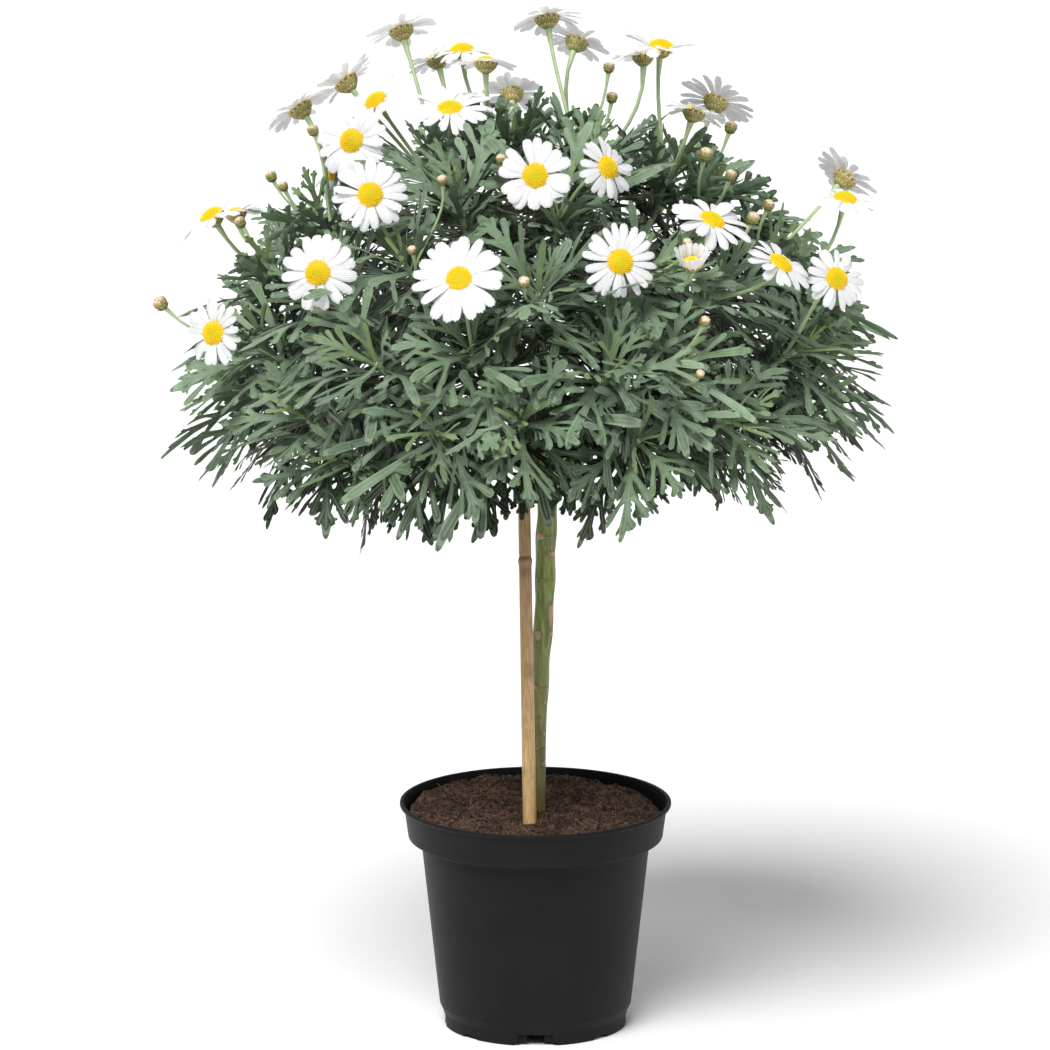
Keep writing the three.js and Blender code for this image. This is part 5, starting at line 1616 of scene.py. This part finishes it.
def build_bloom(number, bloom, tree, shapes, finishes):
    draw = draws_from(900 + number)
    half_open = bloom["half_open"]
    disc = BLOOM["disc"] * bloom["size"]
    petals = PETAL["fewest"] + int(draw() * PETAL["more"])
    reach = HALF_OPEN["reach"] if half_open else bloom["width"] / 2 - disc * PETAL["foot"]
    fair_share = 2 * math.pi * (disc + reach * 0.6) / petals
    width = fair_share * (PETAL["overlap"] + PETAL["more_overlap"] * draw())
    lift = RAISED.get(number, PETAL["lift"])
    lift = HALF_OPEN["lift"] if half_open else lift + PETAL["lift_spread"] * (draw() - 0.5)
    made = grown(f"flower_{number + 1:02d}", cup_mesh(bloom, finishes["bract"], finishes["floret"]), tree, {
        "Petal": shapes["petal"], "Floret": shapes["floret"], "Bract": shapes["bract"], "Petals": petals,
        "Florets": FLORET["count"], "Seed": 40 + number * 10, "Reach": reach * MM, "Petal width": width * MM,
        "Lift": lift, "Root": HALF_OPEN["foot"] if half_open else PETAL["foot"],
        "Uneven": PETAL["uneven"], "Disc": disc * MM,
        "Dome": BLOOM["dome"] * bloom["size"] * MM,
        "Cup depth": BLOOM["cup_depth"] * bloom["size"] * MM, "Petal finish": finishes["petal"],
        "Floret finish": finishes["floret"], "Bract finish": finishes["bract"],
    })
    turn = UP.rotation_difference(bloom["faces"]).to_matrix().to_4x4()
    made.data.transform(Matrix.Translation(bloom["centre"] * MM) @ turn)
    return dressed(made, [f"bloom_{number + 1:02d}"])


def build_crown(finishes, shapes, knobs):
    sectors = branch_sectors()
    shoots = shoot_tips(sectors)
    blooms = bloom_places(shoots)
    buds = bud_places(shoots)
    trees = {"leaf": leaf_tree(BLADES), "tube": tube_tree(), "bud": scatter_tree(), "bloom": bloom_tree()}
    blades = [leaf_blade(number) for number in range(BLADES)]
    TEMPORARY.extend(blades)
    for i in range(BRANCHES):
        own = [shoot for shoot in shoots if shoot["sector"] == i]
        flowers = [bloom for bloom in blooms if bloom["shoot"]["sector"] == i]
        closed = [bud for bud in buds if bud["shoot"]["sector"] == i]
        leaves = build_leaves(i + 1, own, trees["leaf"], blades, finishes["leaf"])
        dressed(leaves, [f"leafy_branch_{i + 1:02d}"])
        pieces = [build_stems(i + 1, sectors[i], sectors, knobs, own, flowers + closed, trees["tube"],
                              finishes["stalk"])]
        if closed:
            pieces.append(build_buds(i + 1, closed, trees["bud"], shapes["bud"], finishes["bud"]))
        for piece in pieces:
            dressed(piece, [])
    for number, bloom in enumerate(blooms):
        build_bloom(number, bloom, trees["bloom"], shapes, finishes)


# Studio

def build_studio():
    """A pale floor, a pale sky and soft lamps, with the camera where the photograph was taken from"""
    scene = bpy.context.scene
    half = 12
    floor_mesh = bpy.data.meshes.new("floor")
    corners = [(-half, -half, 0), (half, -half, 0), (half, half, 0), (-half, half, 0)]
    floor_mesh.from_pydata(corners, [], [(0, 1, 2, 3)])
    floor_mesh.materials.append(blank("Matt white floor", Roughness=0.9, Base_Color="#fbfbfb")[0])
    floor = object_of("floor", floor_mesh)
    world = bpy.data.worlds.new("Pale sky")
    world.use_nodes = True
    scene.world = world
    sky = world.node_tree.nodes["Background"]
    sky.inputs["Color"].default_value = linear("#ffffff")
    sky.inputs["Strength"].default_value = 0.16
    for name, way, spread, power in (
        ("key", (0.35, 0.8, -1.2), 34, 3.7), ("fill", (-0.9, 0.8, -0.7), 60, 0.5),
        ("back", (0.2, -1, -1.0), 50, 0.6),
    ):
        light = bpy.data.lights.new(name, "SUN")
        light.energy = power
        light.angle = math.radians(spread)
        lamp = bpy.data.objects.new(name, light)
        lamp.location = (0, 0, 3)
        lamp.rotation_euler = Vector(way).to_track_quat("-Z", "Y").to_euler()
        scene.collection.objects.link(lamp)
    lens = bpy.data.cameras.new("camera")
    lens.sensor_width = VIEW["sensor"]
    lens.lens = VIEW["sensor"] * VIEW["focal"] / VIEW["frame"]
    lens.clip_end = 60
    camera = bpy.data.objects.new("camera", lens)
    camera.location = Vector((VIEW["x"], -VIEW["distance"], VIEW["height"])) * MM
    camera.rotation_euler = (math.radians(90 - VIEW["pitch"]), 0, 0)
    scene.collection.objects.link(camera)
    scene.camera = camera
    scene.view_settings.view_transform = "Standard"


TEMPORARY = []
FINISHES = {
    "leaf": leaf_skin(), "stalk": stalk_skin(), "petal": petal_skin(), "floret": floret_skin(),
    "bract": bract_skin(), "bud": bud_skin(), "bark": bark_skin(), "bamboo": bamboo_skin(),
    "pot": pot_skin(), "peat": peat_skin(), "tie": tie_skin(),
    "fibre": varied_skin("Coir fibre", 0.8, 17, "#6b4932", "#bd9468"),
    "grit": varied_skin("Pale grit", 0.7, 11, "#8d7b66", "#d8d2c6"),
}
BRACT = bract_blade()
SHAPES = {
    "petal": petal_blade(), "floret": floret_shape(), "bract": BRACT, "bud": bud_shape(BRACT),
    "crumb": crumb_shape(), "fibre": fibre_shape(),
}
TEMPORARY.extend(SHAPES.values())
KNOBS = arm_knobs()

build_studio()
build_pot(FINISHES["pot"])
build_soil(FINISHES["peat"], FINISHES["fibre"], FINISHES["grit"], SHAPES)
build_cane(FINISHES["bamboo"])
build_trunk(FINISHES["bark"], KNOBS)
build_tie(FINISHES["tie"])
build_crown(FINISHES, SHAPES, KNOBS)
for helper in TEMPORARY:
    bpy.data.objects.remove(helper)
